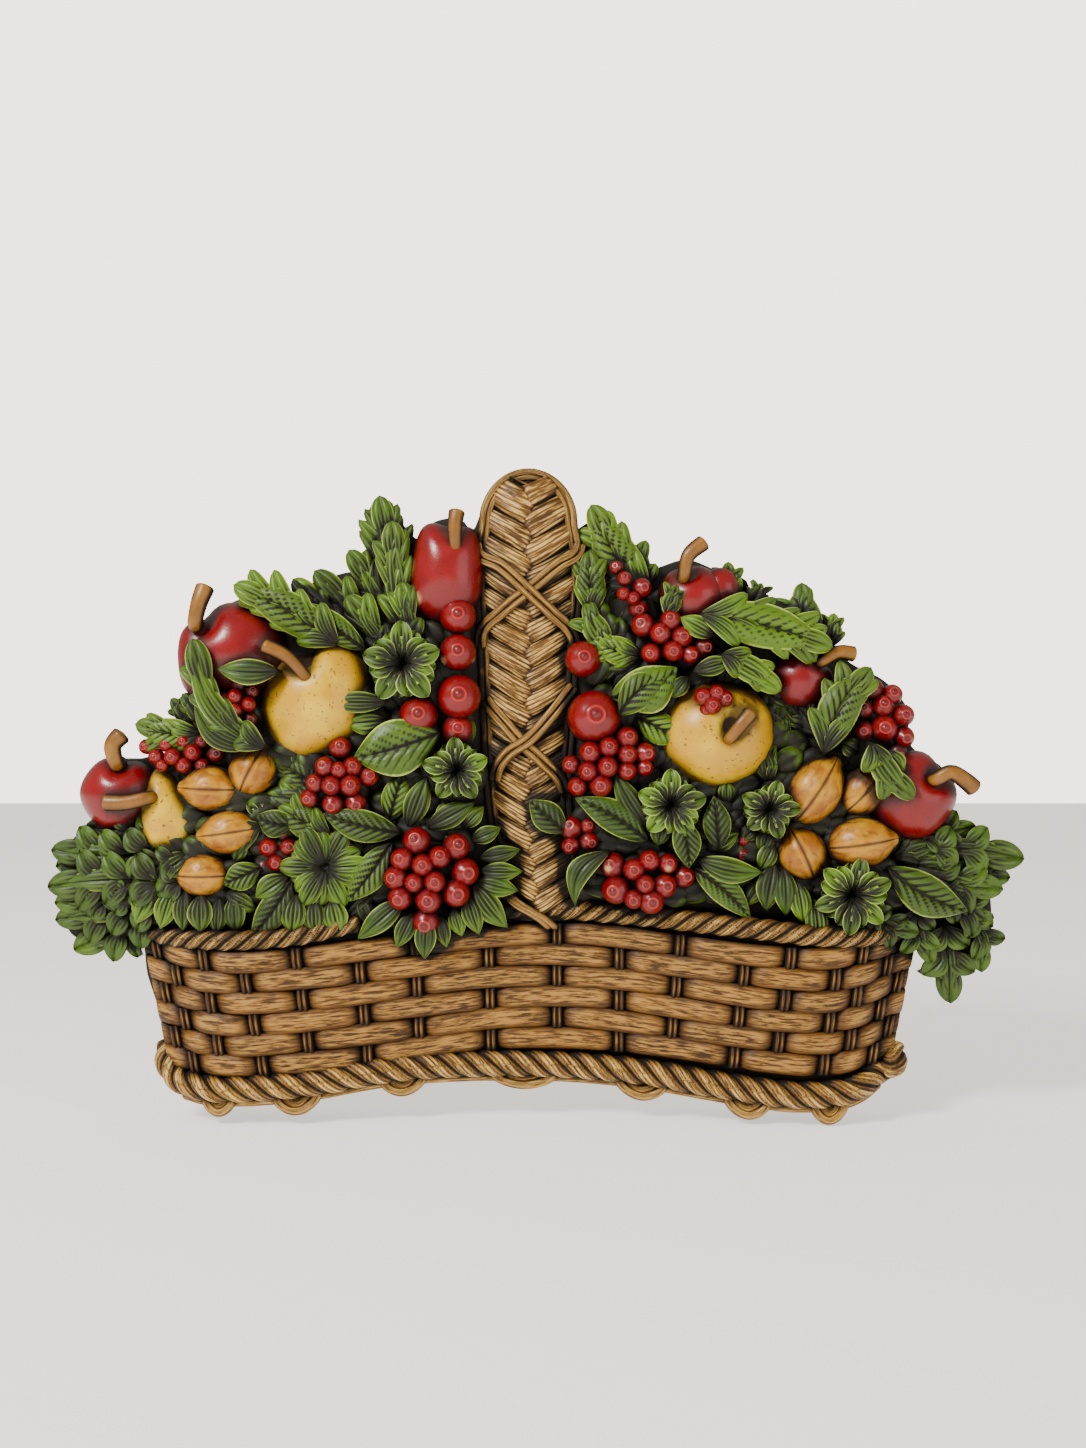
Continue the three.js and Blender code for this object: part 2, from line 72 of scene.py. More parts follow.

# %% [markdown]
# ## Gathering forms into pieces
# A form is a grid of points, like a bent sheet of graph paper. Its columns may close into a tube.
# Points that coincide, as at a tip or a pole, become one, and triangles that collapse are left out.
# "Lift" is the distance in front of the wall, so it runs towards -Y.
#
# Every point carries: groove (how deep it lies in the form's own carving, and on round forms how far it
# turns away from the room; it feeds the dark wash and painted shade), edge (how much painted highlight it
# takes, on rims, ridges and the parts that face the room), tone (one shade per form), across and along
# (its place on a strand or leaf, for grain) and spot (a marked place, such as the ring of a berry).

# %% A piece that collects forms
MARKS = ("groove", "edge", "tone", "across", "along", "spot")


class Piece:
    """The forms of one paint, gathered as arrays until they become one mesh."""

    def __init__(self, name):
        self.name = name
        self.points, self.faces = [], []
        self.marks = {mark: [] for mark in MARKS}
        self.count = 0

    def form(self, x, z, lift, close=False, **marks):
        """Adds a grid of points in millimetres. close joins its last column to its first."""
        x, z, lift = np.broadcast_arrays(x, z, lift)
        rows, columns = x.shape
        points = np.stack([x, -lift, z], axis=-1).reshape(-1, 3)
        _, first, same = np.unique(np.round(points, 3), axis=0, return_index=True, return_inverse=True)
        index = same.reshape(rows, columns)
        if close:
            index = np.concatenate([index, index[:, :1]], axis=1)
        a, b, c, d = index[:-1, :-1], index[:-1, 1:], index[1:, 1:], index[1:, :-1]
        faces = np.concatenate([np.stack([a, b, c], -1).reshape(-1, 3), np.stack([a, c, d], -1).reshape(-1, 3)])
        whole = (faces[:, 0] != faces[:, 1]) & (faces[:, 1] != faces[:, 2]) & (faces[:, 2] != faces[:, 0])
        faces = faces[whole]
        corners = points[first][faces]
        normals = np.cross(corners[:, 1] - corners[:, 0], corners[:, 2] - corners[:, 0])
        if normals[:, 1].sum() > 0 and not close or close and volume_of(corners) < 0:
            faces = faces[:, ::-1]
        self.add(points[first], faces, {
            mark: np.broadcast_to(value, x.shape).reshape(-1)[first] for mark, value in marks.items()})

    def add(self, points, faces, marks):
        self.points.append(points)
        self.faces.append(faces + self.count)
        self.count += len(points)
        for mark in MARKS:
            self.marks[mark].append(np.broadcast_to(marks.get(mark, 0.0), len(points)))

    def gathered(self):
        points = np.concatenate(self.points)
        faces = np.concatenate(self.faces)
        return points, faces, {mark: np.concatenate(values) for mark, values in self.marks.items()}


def volume_of(corners):
    """Six times the volume inside a closed set of triangles."""
    return np.einsum("ij,ij->i", corners[:, 0], np.cross(corners[:, 1], corners[:, 2])).sum()


SEED = 11
random = np.random.default_rng(SEED)
pieces = {}


def piece(name):
    return pieces.setdefault(name, Piece(name))


print("marks on every point:", ", ".join(MARKS))

# %% [markdown]
# ## Shared curves
# The basket bellies out on both sides of the handle and turns back to the wall at its ends. Smooth
# curves through a few knots give its lift, the sag of its rows and the lines of its two ropes. A
# Blender curve could hold the same knots, but a plain function can be asked for its value anywhere.

# %% Smooth curves through knots
def smooth(knots):
    """A smooth function of x through [x, value] knots."""
    xs, values = np.array(knots, float).T
    slopes = np.gradient(values, xs)

    def at(x):
        x = np.clip(x, xs[0], xs[-1])
        i = np.clip(np.searchsorted(xs, x, side="right") - 1, 0, len(xs) - 2)
        step = xs[i + 1] - xs[i]
        t = (x - xs[i]) / step
        start = (2 * t**3 - 3 * t**2 + 1) * values[i] + (t**3 - 2 * t**2 + t) * step * slopes[i]
        return start + (3 * t**2 - 2 * t**3) * values[i + 1] + (t**3 - t**2) * step * slopes[i + 1]

    return at


HANDLE_MIDDLE = -5.5
belly_lift = smooth([
    [-192, 9], [-176, 22], [-150, 35], [-118, 36], [-70, 30], [-30, 24],
    [10, 22], [50, 26], [95, 35], [125, 38], [150, 33], [168, 20], [182, 9]])
row_sag = smooth([
    [-192, 4], [-172, 8], [-145, 10.5], [-110, 9], [-60, 4], [-15, 0],
    [20, 0], [70, 4.5], [110, 8.5], [135, 9], [158, 5], [182, 0]])
rim_height = smooth([
    [-198, -95], [-177, -98.5], [-150, -99.5], [-110, -97], [-85, -92], [-45, -89],
    [9, -86.5], [50, -89.5], [94, -93.5], [137, -97.5], [175, -97]])
foot_height = smooth([
    [-176, -152], [-172, -162], [-160, -168], [-147, -168.5], [-110, -166.5], [-71, -161],
    [-18, -159.5], [45, -162.5], [93, -168.5], [122, -171], [150, -167], [161, -160], [166, -150]])
handle_half = smooth([[-92, 17], [-66, 18], [-35, 19], [2, 21], [39, 22.5], [76, 24], [100, 20], [112, 16]])
handle_middle = smooth([
    [-92, 0], [-66, -2], [-35, HANDLE_MIDDLE], [2, HANDLE_MIDDLE], [120, HANDLE_MIDDLE]])
print("belly lift at -118 and 10 mm:", float(belly_lift(-118)), float(belly_lift(10)))

# %% [markdown]
# ## The woven wall
# Six flat canes run across seventeen stakes. Each cane dips behind every second stake, so the stakes
# that show change from row to row. Between two dips the cane stays flat and full, as a stiff cane does.
# A bump in the paint could fake this, but real dips catch the light and the wash as the casting does.

# %% Where stakes and rows run
ROWS = 6
ROW_PITCH = 9.8
ROW_TOP = -98.5
LEAN = 5.0
STAKES = np.array([
    [-180, -168], [-171, -161], [-155, -147], [-137, -128], [-112, -106], [-84, -80], [-58, -56], [-24, -23],
    [8, 8], [37, 37], [65, 61], [95, 90], [115, 109], [137, 131], [149, 142], [164, 155], [173, 161]], float)


def stakes_on(row):
    return STAKES[:, 0] + (STAKES[:, 1] - STAKES[:, 0]) * row / (ROWS - 1)


def wall_lift(x, row):
    return belly_lift(x) - LEAN * row / ROWS


def row_height(x, row):
    return ROW_TOP - ROW_PITCH * row - row_sag(x)


def skirted(low, high, samples, depths, overhang=0.0):
    """Places across a band, and how far each lies back: its two edges turn down to the plate."""
    ends = len(depths)
    places = np.concatenate([[low - overhang] * ends, np.linspace(low, high, samples), [high + overhang] * ends])
    back = np.concatenate([depths, np.zeros(samples), depths[::-1]])
    return places[None, :], back[None, :]


print("stakes on the top row:", stakes_on(0).round(0))

# %% Woven rows
CANE_STEP = 0.8
CANE_HALF = 4.75
CANE_DIP = 2.4
GRAIN_LINES = 7


def grain(across, seed):
    """Fine lengthwise grooves, from 0 to 1, that differ from strand to strand."""
    wave = np.sin(across * GRAIN_LINES + seed) + 0.7 * np.sin(across * GRAIN_LINES * 1.9 + seed * 1.7)
    return np.clip(0.35 - 0.3 * wave, 0, 1)


def woven_row(row):
    """One flat cane, from end to end of the basket."""
    stakes = stakes_on(row)
    x = np.arange(stakes[0] - 7, stakes[-1] + 6, CANE_STEP)[:, None]
    dips = stakes[np.arange(len(stakes)) % 2 == row % 2]
    gap = np.abs(x - dips[None, :]).min(axis=1, keepdims=True)
    out = np.clip((gap - 1.2) / 9, 0, 1)
    rise = -CANE_DIP + 2 * CANE_DIP * np.sin(out * math.pi / 2) ** 0.8
    v, back = skirted(-1, 1, 15, [7, 2.2])
    half = CANE_HALF + 0.3 * out
    wobble = 0.35 * np.sin(x / 17 + row * 2)
    round_off = 1.9 * (1 - np.sqrt(np.clip(1 - 0.97 * v**2, 0, 1)))
    across = v * 3 + row * 4 + np.sin(x / 23 + row) * 0.25
    x = x + np.interp(x, [-150, 0, 150], [-0.25, 0, 0.25]) * v * half
    lines = grain(across * 1.4, row + 0.6)
    lift = wall_lift(x, row) + rise - round_off - back - 0.28 * lines * (np.abs(v) < 0.98)
    tone = 0.5 + 0.5 * np.sin(np.searchsorted(dips, x[:, :1]) * 2.1 + row * 1.3)
    # groove darkens a cane where it dips behind a stake, partly wash and partly painted shade. edge is a painted
    # highlight on its front between the dips.
    piece("basket_weave").form(
        x, row_height(x, row) + v * half + wobble, lift, tone=tone, across=across, along=x,
        groove=np.clip(np.exp(-out * 4.5) * 0.95 + 0.35 * lines * (1 - 0.5 * out) + (back > 0), 0, 1),
        edge=np.clip(out * (1 - v**2) * 1.1, 0, 1))


print("a cane dips", 2 * CANE_DIP, "mm behind a stake")

# %% Stakes that show between the dips
STAKE_PROUD = 0.9
STAKE_HALF = 2.3


def stake_face(x, z, lift, lean):
    """The part of a stake that shows in front of one row: two round ribs side by side."""
    u = np.linspace(-1, 1, 11)[:, None]
    v, back = skirted(-1, 1, 15, [6], overhang=0.05)
    ribs = np.abs(np.sin(math.pi * np.clip(v, -1, 1)))
    height = 1.5 * ribs**0.6 - 1.2 * u**2 - back
    # groove darkens a stake between its ribs and where it goes under the canes, partly wash and partly painted shade.
    # edge is a painted highlight on the ribs.
    piece("basket_weave").form(
        x + v * STAKE_HALF + lean * u, z + u * ROW_PITCH * 0.5, lift + height,
        tone=0.25, across=v * 2 + x, along=u * 5, edge=0.7 * ribs * (1 - u**2),
        groove=np.clip(0.25 + 0.9 * (1 - ribs) + 0.5 * u**2 + (back > 0), 0, 1))


for row in range(ROWS):
    woven_row(row)
    stakes = stakes_on(row)
    for i in range(row % 2, len(stakes), 2):
        lean = (STAKES[i, 0] - STAKES[i, 1]) / ROWS / 2
        stake_face(stakes[i], row_height(stakes[i], row), wall_lift(stakes[i], row) + STAKE_PROUD, lean)
print("points of canes and stakes:", piece("basket_weave").count)

# %% The solid body behind the canes
CORE_BACK = [30, 14, 2]


def basket_core():
    """A body from the rim to the foot, painted dark all over as shade between the canes; it turns back to the plate
    all round.
    """
    across, side_depth = skirted(0, 1, 81, CORE_BACK)
    down, end_depth = (line.T for line in skirted(0, 1, 9, CORE_BACK))
    depth = np.maximum(end_depth, side_depth)
    left, right = -184 + 13 * down, 177 - 13 * down
    x = left + (right - left) * across
    z = rim_height(x) + (foot_height(x) - rim_height(x)) * down
    lift = belly_lift(x) - LEAN * down - 5 - depth
    piece("basket_weave").form(x, z, np.maximum(lift, 4 - 0.05 * depth), groove=1.0, tone=0.2)


basket_core()
print("weave points:", piece("basket_weave").count)

# %% [markdown]
# ## Tubes, ropes and canes
# A tube carries a ring of points along a path. On a rope the ring swells once for each strand, and
# the swelling turns as it goes along, which is what twisting does to real cord. Three bent tubes wound
# round one another would do too, but one swelling ring needs far fewer points, and none are hidden.

# %% Tubes along a path
def along_path(knots, step):
    """Points every `step` mm on a smooth line through [x, z, lift] knots, with the distance to each."""
    knots = np.array(knots, float)
    reach = np.concatenate([[0], np.cumsum(np.linalg.norm(np.diff(knots, axis=0), axis=1))])
    count = max(int(reach[-1] / step), 4)
    at = np.linspace(0, reach[-1], count)
    lines = [smooth(np.stack([reach, knots[:, k]], axis=1))(at) for k in range(3)]
    return np.stack(lines, axis=1), at


def tube(target, knots, radius, step, sides, shape, ends, **marks):
    """A round tube; shape(angle, distance) gives its swelling and its marks."""
    path, at = along_path(knots, step)
    tangent = np.gradient(path, axis=0)
    tangent /= np.linalg.norm(tangent, axis=1, keepdims=True)
    side = np.cross(tangent, [0, 0, 1.0])
    side /= np.linalg.norm(side, axis=1, keepdims=True)
    front = np.cross(side, tangent)
    angle = np.linspace(0, 2 * math.pi, sides, endpoint=False)[None, :]
    distance = at[:, None]
    taper = np.sqrt(np.clip(np.minimum(distance, at[-1] - distance) / ends, 0.0, 1))
    swell, carved = shape(angle, distance)
    reach = radius * swell * taper
    ring = path[:, None, :] + reach[..., None] * (
        np.cos(angle)[..., None] * front[:, None, :] + np.sin(angle)[..., None] * side[:, None, :])
    target.form(ring[..., 0], ring[..., 1], ring[..., 2], close=True, **marks, **carved)


def laid_along(heights, lifts, from_x, to_x, count=24, down=0.0):
    """Knots from side to side of the basket, on a curve of heights and one of lifts."""
    xs = np.linspace(from_x, to_x, count)
    return [[x, float(heights(x)) - down, float(lifts(x))] for x in xs]


print("knots of the rim rope, for one:", np.round(laid_along(rim_height, belly_lift, -197, -82)[0], 1))

# %% Twisted ropes on the rim and the foot
ROPE_STEP, ROPE_SIDES = 0.6, 34
STRANDS = 3


def rope(knots, radius, pitch, slant, fibres, seed=0.0, shade=0.0):
    """A rope laid from three strands, each with a few fibres that show as grooves."""
    def shape(angle, distance):
        turn = STRANDS * angle / (2 * math.pi) + slant * distance / pitch
        strand = turn - np.floor(turn)
        ridge = np.sqrt(np.clip(1 - (2 * strand - 1) ** 2, 0, 1))
        fibre = np.abs(np.sin(math.pi * fibres * strand)) ** 0.7
        # groove darkens each strand's sides and its fibre lines, partly wash and partly painted shade. edge is a
        # painted highlight on the ridge of each strand, stronger towards one side, as if lit from there.
        return 0.58 + 0.36 * ridge + 0.065 * fibre * ridge, {
            "groove": np.clip(1.45 - 1.5 * ridge + (1 - fibre), 0, 1),
            "edge": ridge**2 * fibre * np.clip(0.4 + np.cos(angle - 0.5), 0, 1),
            "across": strand * 9 + np.floor(turn) * 3 + seed,
            "along": distance,
            "tone": 0.5 + 0.5 * np.sin(np.floor(turn) * 2.7 + seed)}

    tube(piece("basket_ropes"), knots, radius, ROPE_STEP, ROPE_SIDES, shape, ends=3, spot=shade)


def rim_lift(x):
    return belly_lift(x) + 0.5


def foot_lift(x):
    return np.maximum(belly_lift(x) - LEAN, 9)


# from x, to x, radius, pitch, and how much darker the paint is
RIM_ROPES = [(-197, -82, 4.7, 8.8, 0.6), (-82, -4, 4.2, 8.8, 0.6), (-6, 175, 5.2, 9.2, 0.4)]
for start, end, radius, pitch, shade in RIM_ROPES:
    rope(laid_along(rim_height, rim_lift, start, end), radius, pitch, 1, fibres=3, shade=shade)
foot_left, foot_right = [[-175, -150, 10], [-175.5, -158, 16]], [[164, -160, 22], [167, -152, 12]]
foot_knots = foot_left + laid_along(foot_height, foot_lift, -170, 160) + foot_right
rope(foot_knots, 6.4, 10.8, -1, fibres=4, seed=2.0)
print("points of the twisted ropes:", piece("basket_ropes").count)

# %% Thin canes under the foot rope
CANE_SIDES, CANE_POINTS = 12, 1.0
# from x, to x, and how far the loop hangs down
LOOPS = [
    (-156, -142, 8), (-123, -102, 9), (-74, -54, 8), (-23, 8, 7), (36, 59, 8.5), (86, 106, 9), (126, 142, 9)]


def cane_mark(angle, distance):
    """A split cane is round, with faint lines along it; its front takes a painted highlight and its sides go dark as
    painted shade.
    """
    lines = 0.5 + 0.5 * np.sin(angle * 5 + np.sin(distance / 9))
    front = np.clip(np.cos(angle), 0, 1)
    return 1 - 0.035 * lines, {
        "groove": np.clip(0.35 * lines + 0.85 - 1.5 * front, 0, 1), "across": angle * 2,
        "along": distance, "edge": (1 - 0.6 * lines) * front}


def cane(target, knots, radius, tone):
    tube(target, knots, radius, CANE_POINTS, CANE_SIDES, cane_mark, ends=radius, tone=tone)


def under_lift(x):
    return np.maximum(belly_lift(x) - LEAN - 3, 8)


ROPES = piece("basket_ropes")
for start, end, down in ((-168, 160, 7.2), (-172, 163, 3.8)):
    cane(ROPES, laid_along(foot_height, under_lift, start, end, 30, down), 1.9, tone=0.3)
for start, end, drop in LOOPS:
    knots = []
    for share in np.linspace(0, 1, 9):
        x = start + (end - start) * share
        hang = 4.5 + (drop - 1) * math.sin(math.pi * share) ** 0.7
        knots.append([x, float(foot_height(x)) - hang, float(under_lift(x)) + 1.5])
    cane(ROPES, knots, 2.3, tone=0.6)
    inner = [[x * 0.72 + (start + end) / 2 * 0.28, z + 3.2, lift - 0.8] for x, z, lift in knots]
    cane(ROPES, inner, 2.2, tone=0.3)
print("rope points:", ROPES.count)

# %% [markdown]
# ## The handle
# Strands of split cane come down from both edges and cross on the middle line. Round canes bind the
# plait where they cross in two X shapes, and thin bands frame the arch at the top. One strand is a
# bent grid, laid again and again down both sides, because a real plait repeats in the same way.

# %% Where the handle lies
HANDLE_LIFT = 29.0
SHOULDER, CROWN = 94.0, 24.0


def handle_lift(x, z):
    """The plait is rounded: high in the middle, and lower at both edges."""
    off = (x - handle_middle(z)) / handle_half(z)
    return HANDLE_LIFT - 6.5 * off**2


def handle_edge(z):
    """Half the width of the handle at a height; above the shoulders it closes in an arch."""
    up = np.clip((z - SHOULDER) / CROWN, 0, 0.999)
    return handle_half(np.minimum(z, SHOULDER)) * np.sqrt(1 - up**2)


print("handle's half width at its shoulders:", round(float(handle_edge(SHOULDER)), 1), "mm")

# %% The plait
PLAIT_TOP, PLAIT_FOOT = 121, -91
PLAIT_PITCH, PLAIT_SLOPE = 11.8, 0.68
STRAND_FIBRES = 3


def strand(side, start, seed):
    """One flat bundle of straw, from the handle's edge down past its middle line."""
    u = np.linspace(0, 1, 24)[:, None]
    v, back = skirted(-1, 1, 41, [7, 1.4])
    thick = PLAIT_PITCH * 0.485
    edge_z = np.minimum(start + v * thick, SHOULDER + CROWN - 2.5)
    width = handle_edge(edge_z) - 0.8
    x = handle_middle(edge_z) + side * (width - (width + 3.6 + 2.8 * v) * u)
    z = edge_z - PLAIT_SLOPE * width * (u + 0.06 * np.sin(math.pi * u))
    fibre = np.abs(np.sin(math.pi * STRAND_FIBRES * (v + 1 + 0.05 * np.sin(u * 6 + seed)))) ** 0.8
    body = 2.8 * (1 - v**4) - 0.6 * v - 0.35 * (1 - fibre)
    tuck = 3.0 * np.clip((u - 0.80) / 0.20, 0, 1) ** 1.5 + 2.0 * np.clip((0.08 - u) / 0.08, 0, 1) ** 2
    # groove darkens a strand at its edges and where it tucks under the next one, partly wash and partly painted
    # shade. edge is a painted highlight along its fibres.
    piece("basket_handle").form(
        x, z, handle_lift(x, z) - 2.2 + body - tuck - back,
        tone=0.5 + 0.5 * math.sin(seed * 2.3), across=v * 3 + seed, along=u * width * 1.2,
        groove=np.clip(0.75 * (1 - fibre) + 1.3 * np.abs(v) ** 6 + tuck / 2.2 + (back > 0), 0, 1),
        edge=np.clip(fibre * (1 - v**6) * 1.1 - tuck, 0, 1))


for i in range(int((PLAIT_TOP - PLAIT_FOOT) / PLAIT_PITCH)):
    for side in (-1, 1):
        strand(side, PLAIT_TOP - PLAIT_PITCH * (i + (side > 0) * 0.5), i * 1.3 + side)
print("points of the plait:", piece("basket_handle").count)

# %% Canes that cross on the plait
CROSS_SPREAD, CROSS_RADIUS = 1.6, 1.55
CROSSINGS = [
    (1.2, [[19, 85], [17.5, 80], [9, 74], [-3, 64], [-18, 52], [-27, 43], [-28, 35]]),
    (2.6, [[-30, 85], [-29, 80], [-18, 73], [-7, 63], [6, 51], [15, 42], [17, 35]]),
    (1.2, [[-26, 12], [-23, 8], [-16, 0], [-8, -9], [2, -18], [10, -27], [12, -33]]),
    (2.6, [[16, 18], [13, 14], [6, 5], [-5, -7], [-16, -15], [-20, -21], [-21, -27]])]


def double_cane(points, proud):
    """Two round canes side by side, laid over the plait."""
    run = np.gradient(points, axis=0)
    normal = np.stack([-run[:, 1], run[:, 0]], axis=1) / np.linalg.norm(run, axis=1, keepdims=True)
    for side in (-1, 1):
        moved = points + side * CROSS_SPREAD * normal
        knots = [[x, z, float(handle_lift(x, z)) + proud] for x, z in moved]
        cane(piece("basket_handle"), knots, CROSS_RADIUS, tone=0.9)


for proud, points in CROSSINGS:
    double_cane(np.array(points, float), proud)
print("with the crossing canes:", piece("basket_handle").count)

# %% Bands round the arch, and canes at its foot
def arch(inset, lift, radius, tone):
    """A band that runs up one edge of the handle, round its top and down the other edge."""
    heights = np.linspace(-70, SHOULDER, 12)
    left = [[float(handle_middle(z)) - float(handle_half(z)) + inset, z, lift] for z in heights]
    turn = np.linspace(math.pi, 0, 15)[1:-1]
    wide = float(handle_half(SHOULDER)) - inset
    top = [[HANDLE_MIDDLE + wide * math.cos(t), SHOULDER + (CROWN - inset) * math.sin(t), lift] for t in turn]
    right = [[float(handle_middle(z)) + float(handle_half(z)) - inset, z, lift] for z in heights[::-1]]
    cane(piece("basket_handle"), left + top + right, radius, tone)


arch(0.2, 22, 1.9, 0.5)
arch(3.0, 23.5, 1.4, 0.4)
for shift, proud, radius in ((0, 1.6, 1.6), (3.2, 1.0, 1.5)):
    foot_cane = [[-18 - shift, -76, 27], [-8 - shift, -84, 29], [2 - shift, -90, 29], [8 - shift, -95, 27 + proud]]
    cane(piece("basket_handle"), foot_cane, radius, tone=0.9)
print("with the bands:", piece("basket_handle").count)

# %% The solid body behind the plait
CORE_SHOULDER, CORE_CROWN = 96, 21
# Above this height the core is painted paler, as painted light on the top of the arch.
LIT_ABOVE = 100


def handle_core():
    """A body from the basket's rim to the crown, painted dark as shade between the strands, and a little paler at the
    top of the arch, as painted light.
    """
    crown = CORE_SHOULDER + CORE_CROWN * np.sin(np.linspace(0.05, math.pi / 2, 16))
    z = np.concatenate([np.linspace(-92, CORE_SHOULDER, 60), crown])[:, None]
    arch_share = np.sqrt(np.clip(1 - (np.clip(z - CORE_SHOULDER, 0, CORE_CROWN) / CORE_CROWN) ** 2, 0, 1))
    v = np.array([-1, -1, -1, -0.7, -0.35, 0, 0.35, 0.7, 1, 1, 1])[None, :]
    depth = np.array([28, 14, 2, 0.8, 0.2, 0, 0.2, 0.8, 2, 14, 28])[None, :]
    half = np.where(z < CORE_SHOULDER, handle_half(z) - 1, 18.5 * arch_share)
    lift = np.clip(HANDLE_LIFT - 5 - depth - 5 * v**2, 0, None)
    piece("basket_handle").form(
        handle_middle(z) + v * half, z, lift, tone=0.2, across=v * 2, along=z, groove=0.85 - 0.5 * (z > LIT_ABOVE))


handle_core()
print("handle points:", piece("basket_handle").count)

# %% [markdown]
# ## Leaves
# One function makes every leaf. Its grid runs from base to tip and across the blade. The midrib and
# side veins are grooves, the blade swells between them, and the edge is a thin rolled lip that turns
# down and back, as moulded leaves do so that they leave the mould. A flat leaf picture would be lighter,
# but these stand well clear of the plate and are seen from the side, so each has a real thickness.

# %% One leaf
SKIRT_SHARE = np.array([1.0, 0.94, 0.0])
SKIRT_DROP = np.array([1.2, 4.0, 13.0])
# how far the widest place is from the base, how round the outline is, and how its edge leans forward
LEAF_SHAPES = {"plain": (0.85, 0.90, 0.2), "blunt": (1.35, 0.62, 0.0), "finger": (1.22, 0.52, 0.05)}


def leaf(target, base, tip, width, lift, bend=0.0, arch=3.0, tip_drop=2.5, tone=None, shape="plain", rim_light=1.0,
         grid=None):
    """A leaf between two [x, z] points. A blunt one is widest near its round tip; a finger is slim."""
    small = width < 12.5
    columns, rows = grid or ((13, 16) if small else (19, 36))
    across = np.linspace(-1, 1, columns)
    rim = np.ones(3)
    share = np.concatenate([SKIRT_SHARE[::-1], np.ones(len(across)), SKIRT_SHARE])[None, :]
    drop = np.concatenate([SKIRT_DROP[::-1], np.zeros(len(across)), SKIRT_DROP])[None, :]
    v = np.concatenate([-rim, across, rim])[None, :]
    base, tip = np.array(base, float), np.array(tip, float)
    length = math.hypot(*(tip - base))
    along = (tip - base) / length
    normal = np.array([-along[1], along[0]])
    u = np.linspace(0, 1, rows)[:, None]
    size = np.abs(v) * share
    shift, roundness, sweep = LEAF_SHAPES[shape]
    outline = np.sin(math.pi * u**shift) ** roundness
    if shape == "blunt":
        outline = outline * (0.3 + 0.7 * np.clip(u * 2.2, 0, 1))
    half = width / 2 * outline
    forward = sweep * half * size**1.3 * (1 - u**3)
    side = np.sign(v) * size * half + bend * 4 * u * (1 - u)
    x = base[0] + along[0] * (length * u + forward) + normal[0] * side
    z = base[1] + along[1] * (length * u + forward) + normal[1] * side
    rib = np.exp(-((size * half / 0.5) ** 2)) * (1 - u**3)
    if small or shape != "plain":
        vein = sum(np.exp(-(((size - s) * half / 0.4) ** 2)) for s in (0.36, 0.70)) * np.clip(2.0 - 2.4 * u, 0, 1)
    else:
        spacing = float(np.clip(width * 0.27, 3.2, 5.5))
        q = (u * length - 1.1 * size * half) / spacing
        vein = np.exp(-(((np.abs(q - np.floor(q) - 0.5)) * spacing / 0.75) ** 2)) * np.clip(1.5 - 1.4 * size, 0, 1)
    vein = vein * (size < 0.95) * np.clip(half / 1.5, 0, 1)
    swell = np.sin(math.pi * np.clip(size, 0, 1) ** 0.85) * np.clip(half * 0.28, 0, 2.4)
    cup = 1.4 * size**2 * u if shape == "blunt" else -1.0 * size**4
    lip = 0.45 * np.exp(-(((size - 0.96) / 0.09) ** 2))
    ends = arch * (2 * u - 1) ** 2 * np.where(u > 0.5, tip_drop / 3, 1.0)
    height = np.maximum(lift + swell + cup + lip - 0.9 * rib - 0.5 * vein - ends - drop, 1.5 - 0.08 * drop)
    back = np.clip(drop / 2.2, 0, 1)
    # groove also darkens the skirts and the base of the leaf, where it goes under others: painted shade. edge is a
    # painted highlight on the rim and on the swell towards the tip.
    hollow = 0.7 * (1 - u) ** 2.6 if shape == "blunt" else 0.5 * (1 - u) ** 6
    target.form(
        x, z, height, tone=random.uniform(0, 1) if tone is None else tone, across=np.sign(v) * size * half,
        along=u * length, groove=np.clip(0.9 * rib + 1.1 * vein + back + hollow, 0, 1),
        edge=np.clip(rim_light * np.exp(-(((size - 1) / 0.10) ** 2)) * (1 - 0.75 * back)
                     + (1.15 - 0.5 * rim_light) * swell / 2.4 * u - vein - rib, 0, 1))


print("leaf shapes:", ", ".join(LEAF_SHAPES))

# %% [markdown]
# ## Cut leaves and rosettes
# Many leaves of the casting are cut into fingers, like parsley, and others stand in a ring like the
# petals of a flower. Both are put together from single leaves, rather than drawn as one outline, so
# that every finger has its own swelling, midrib and shadow.

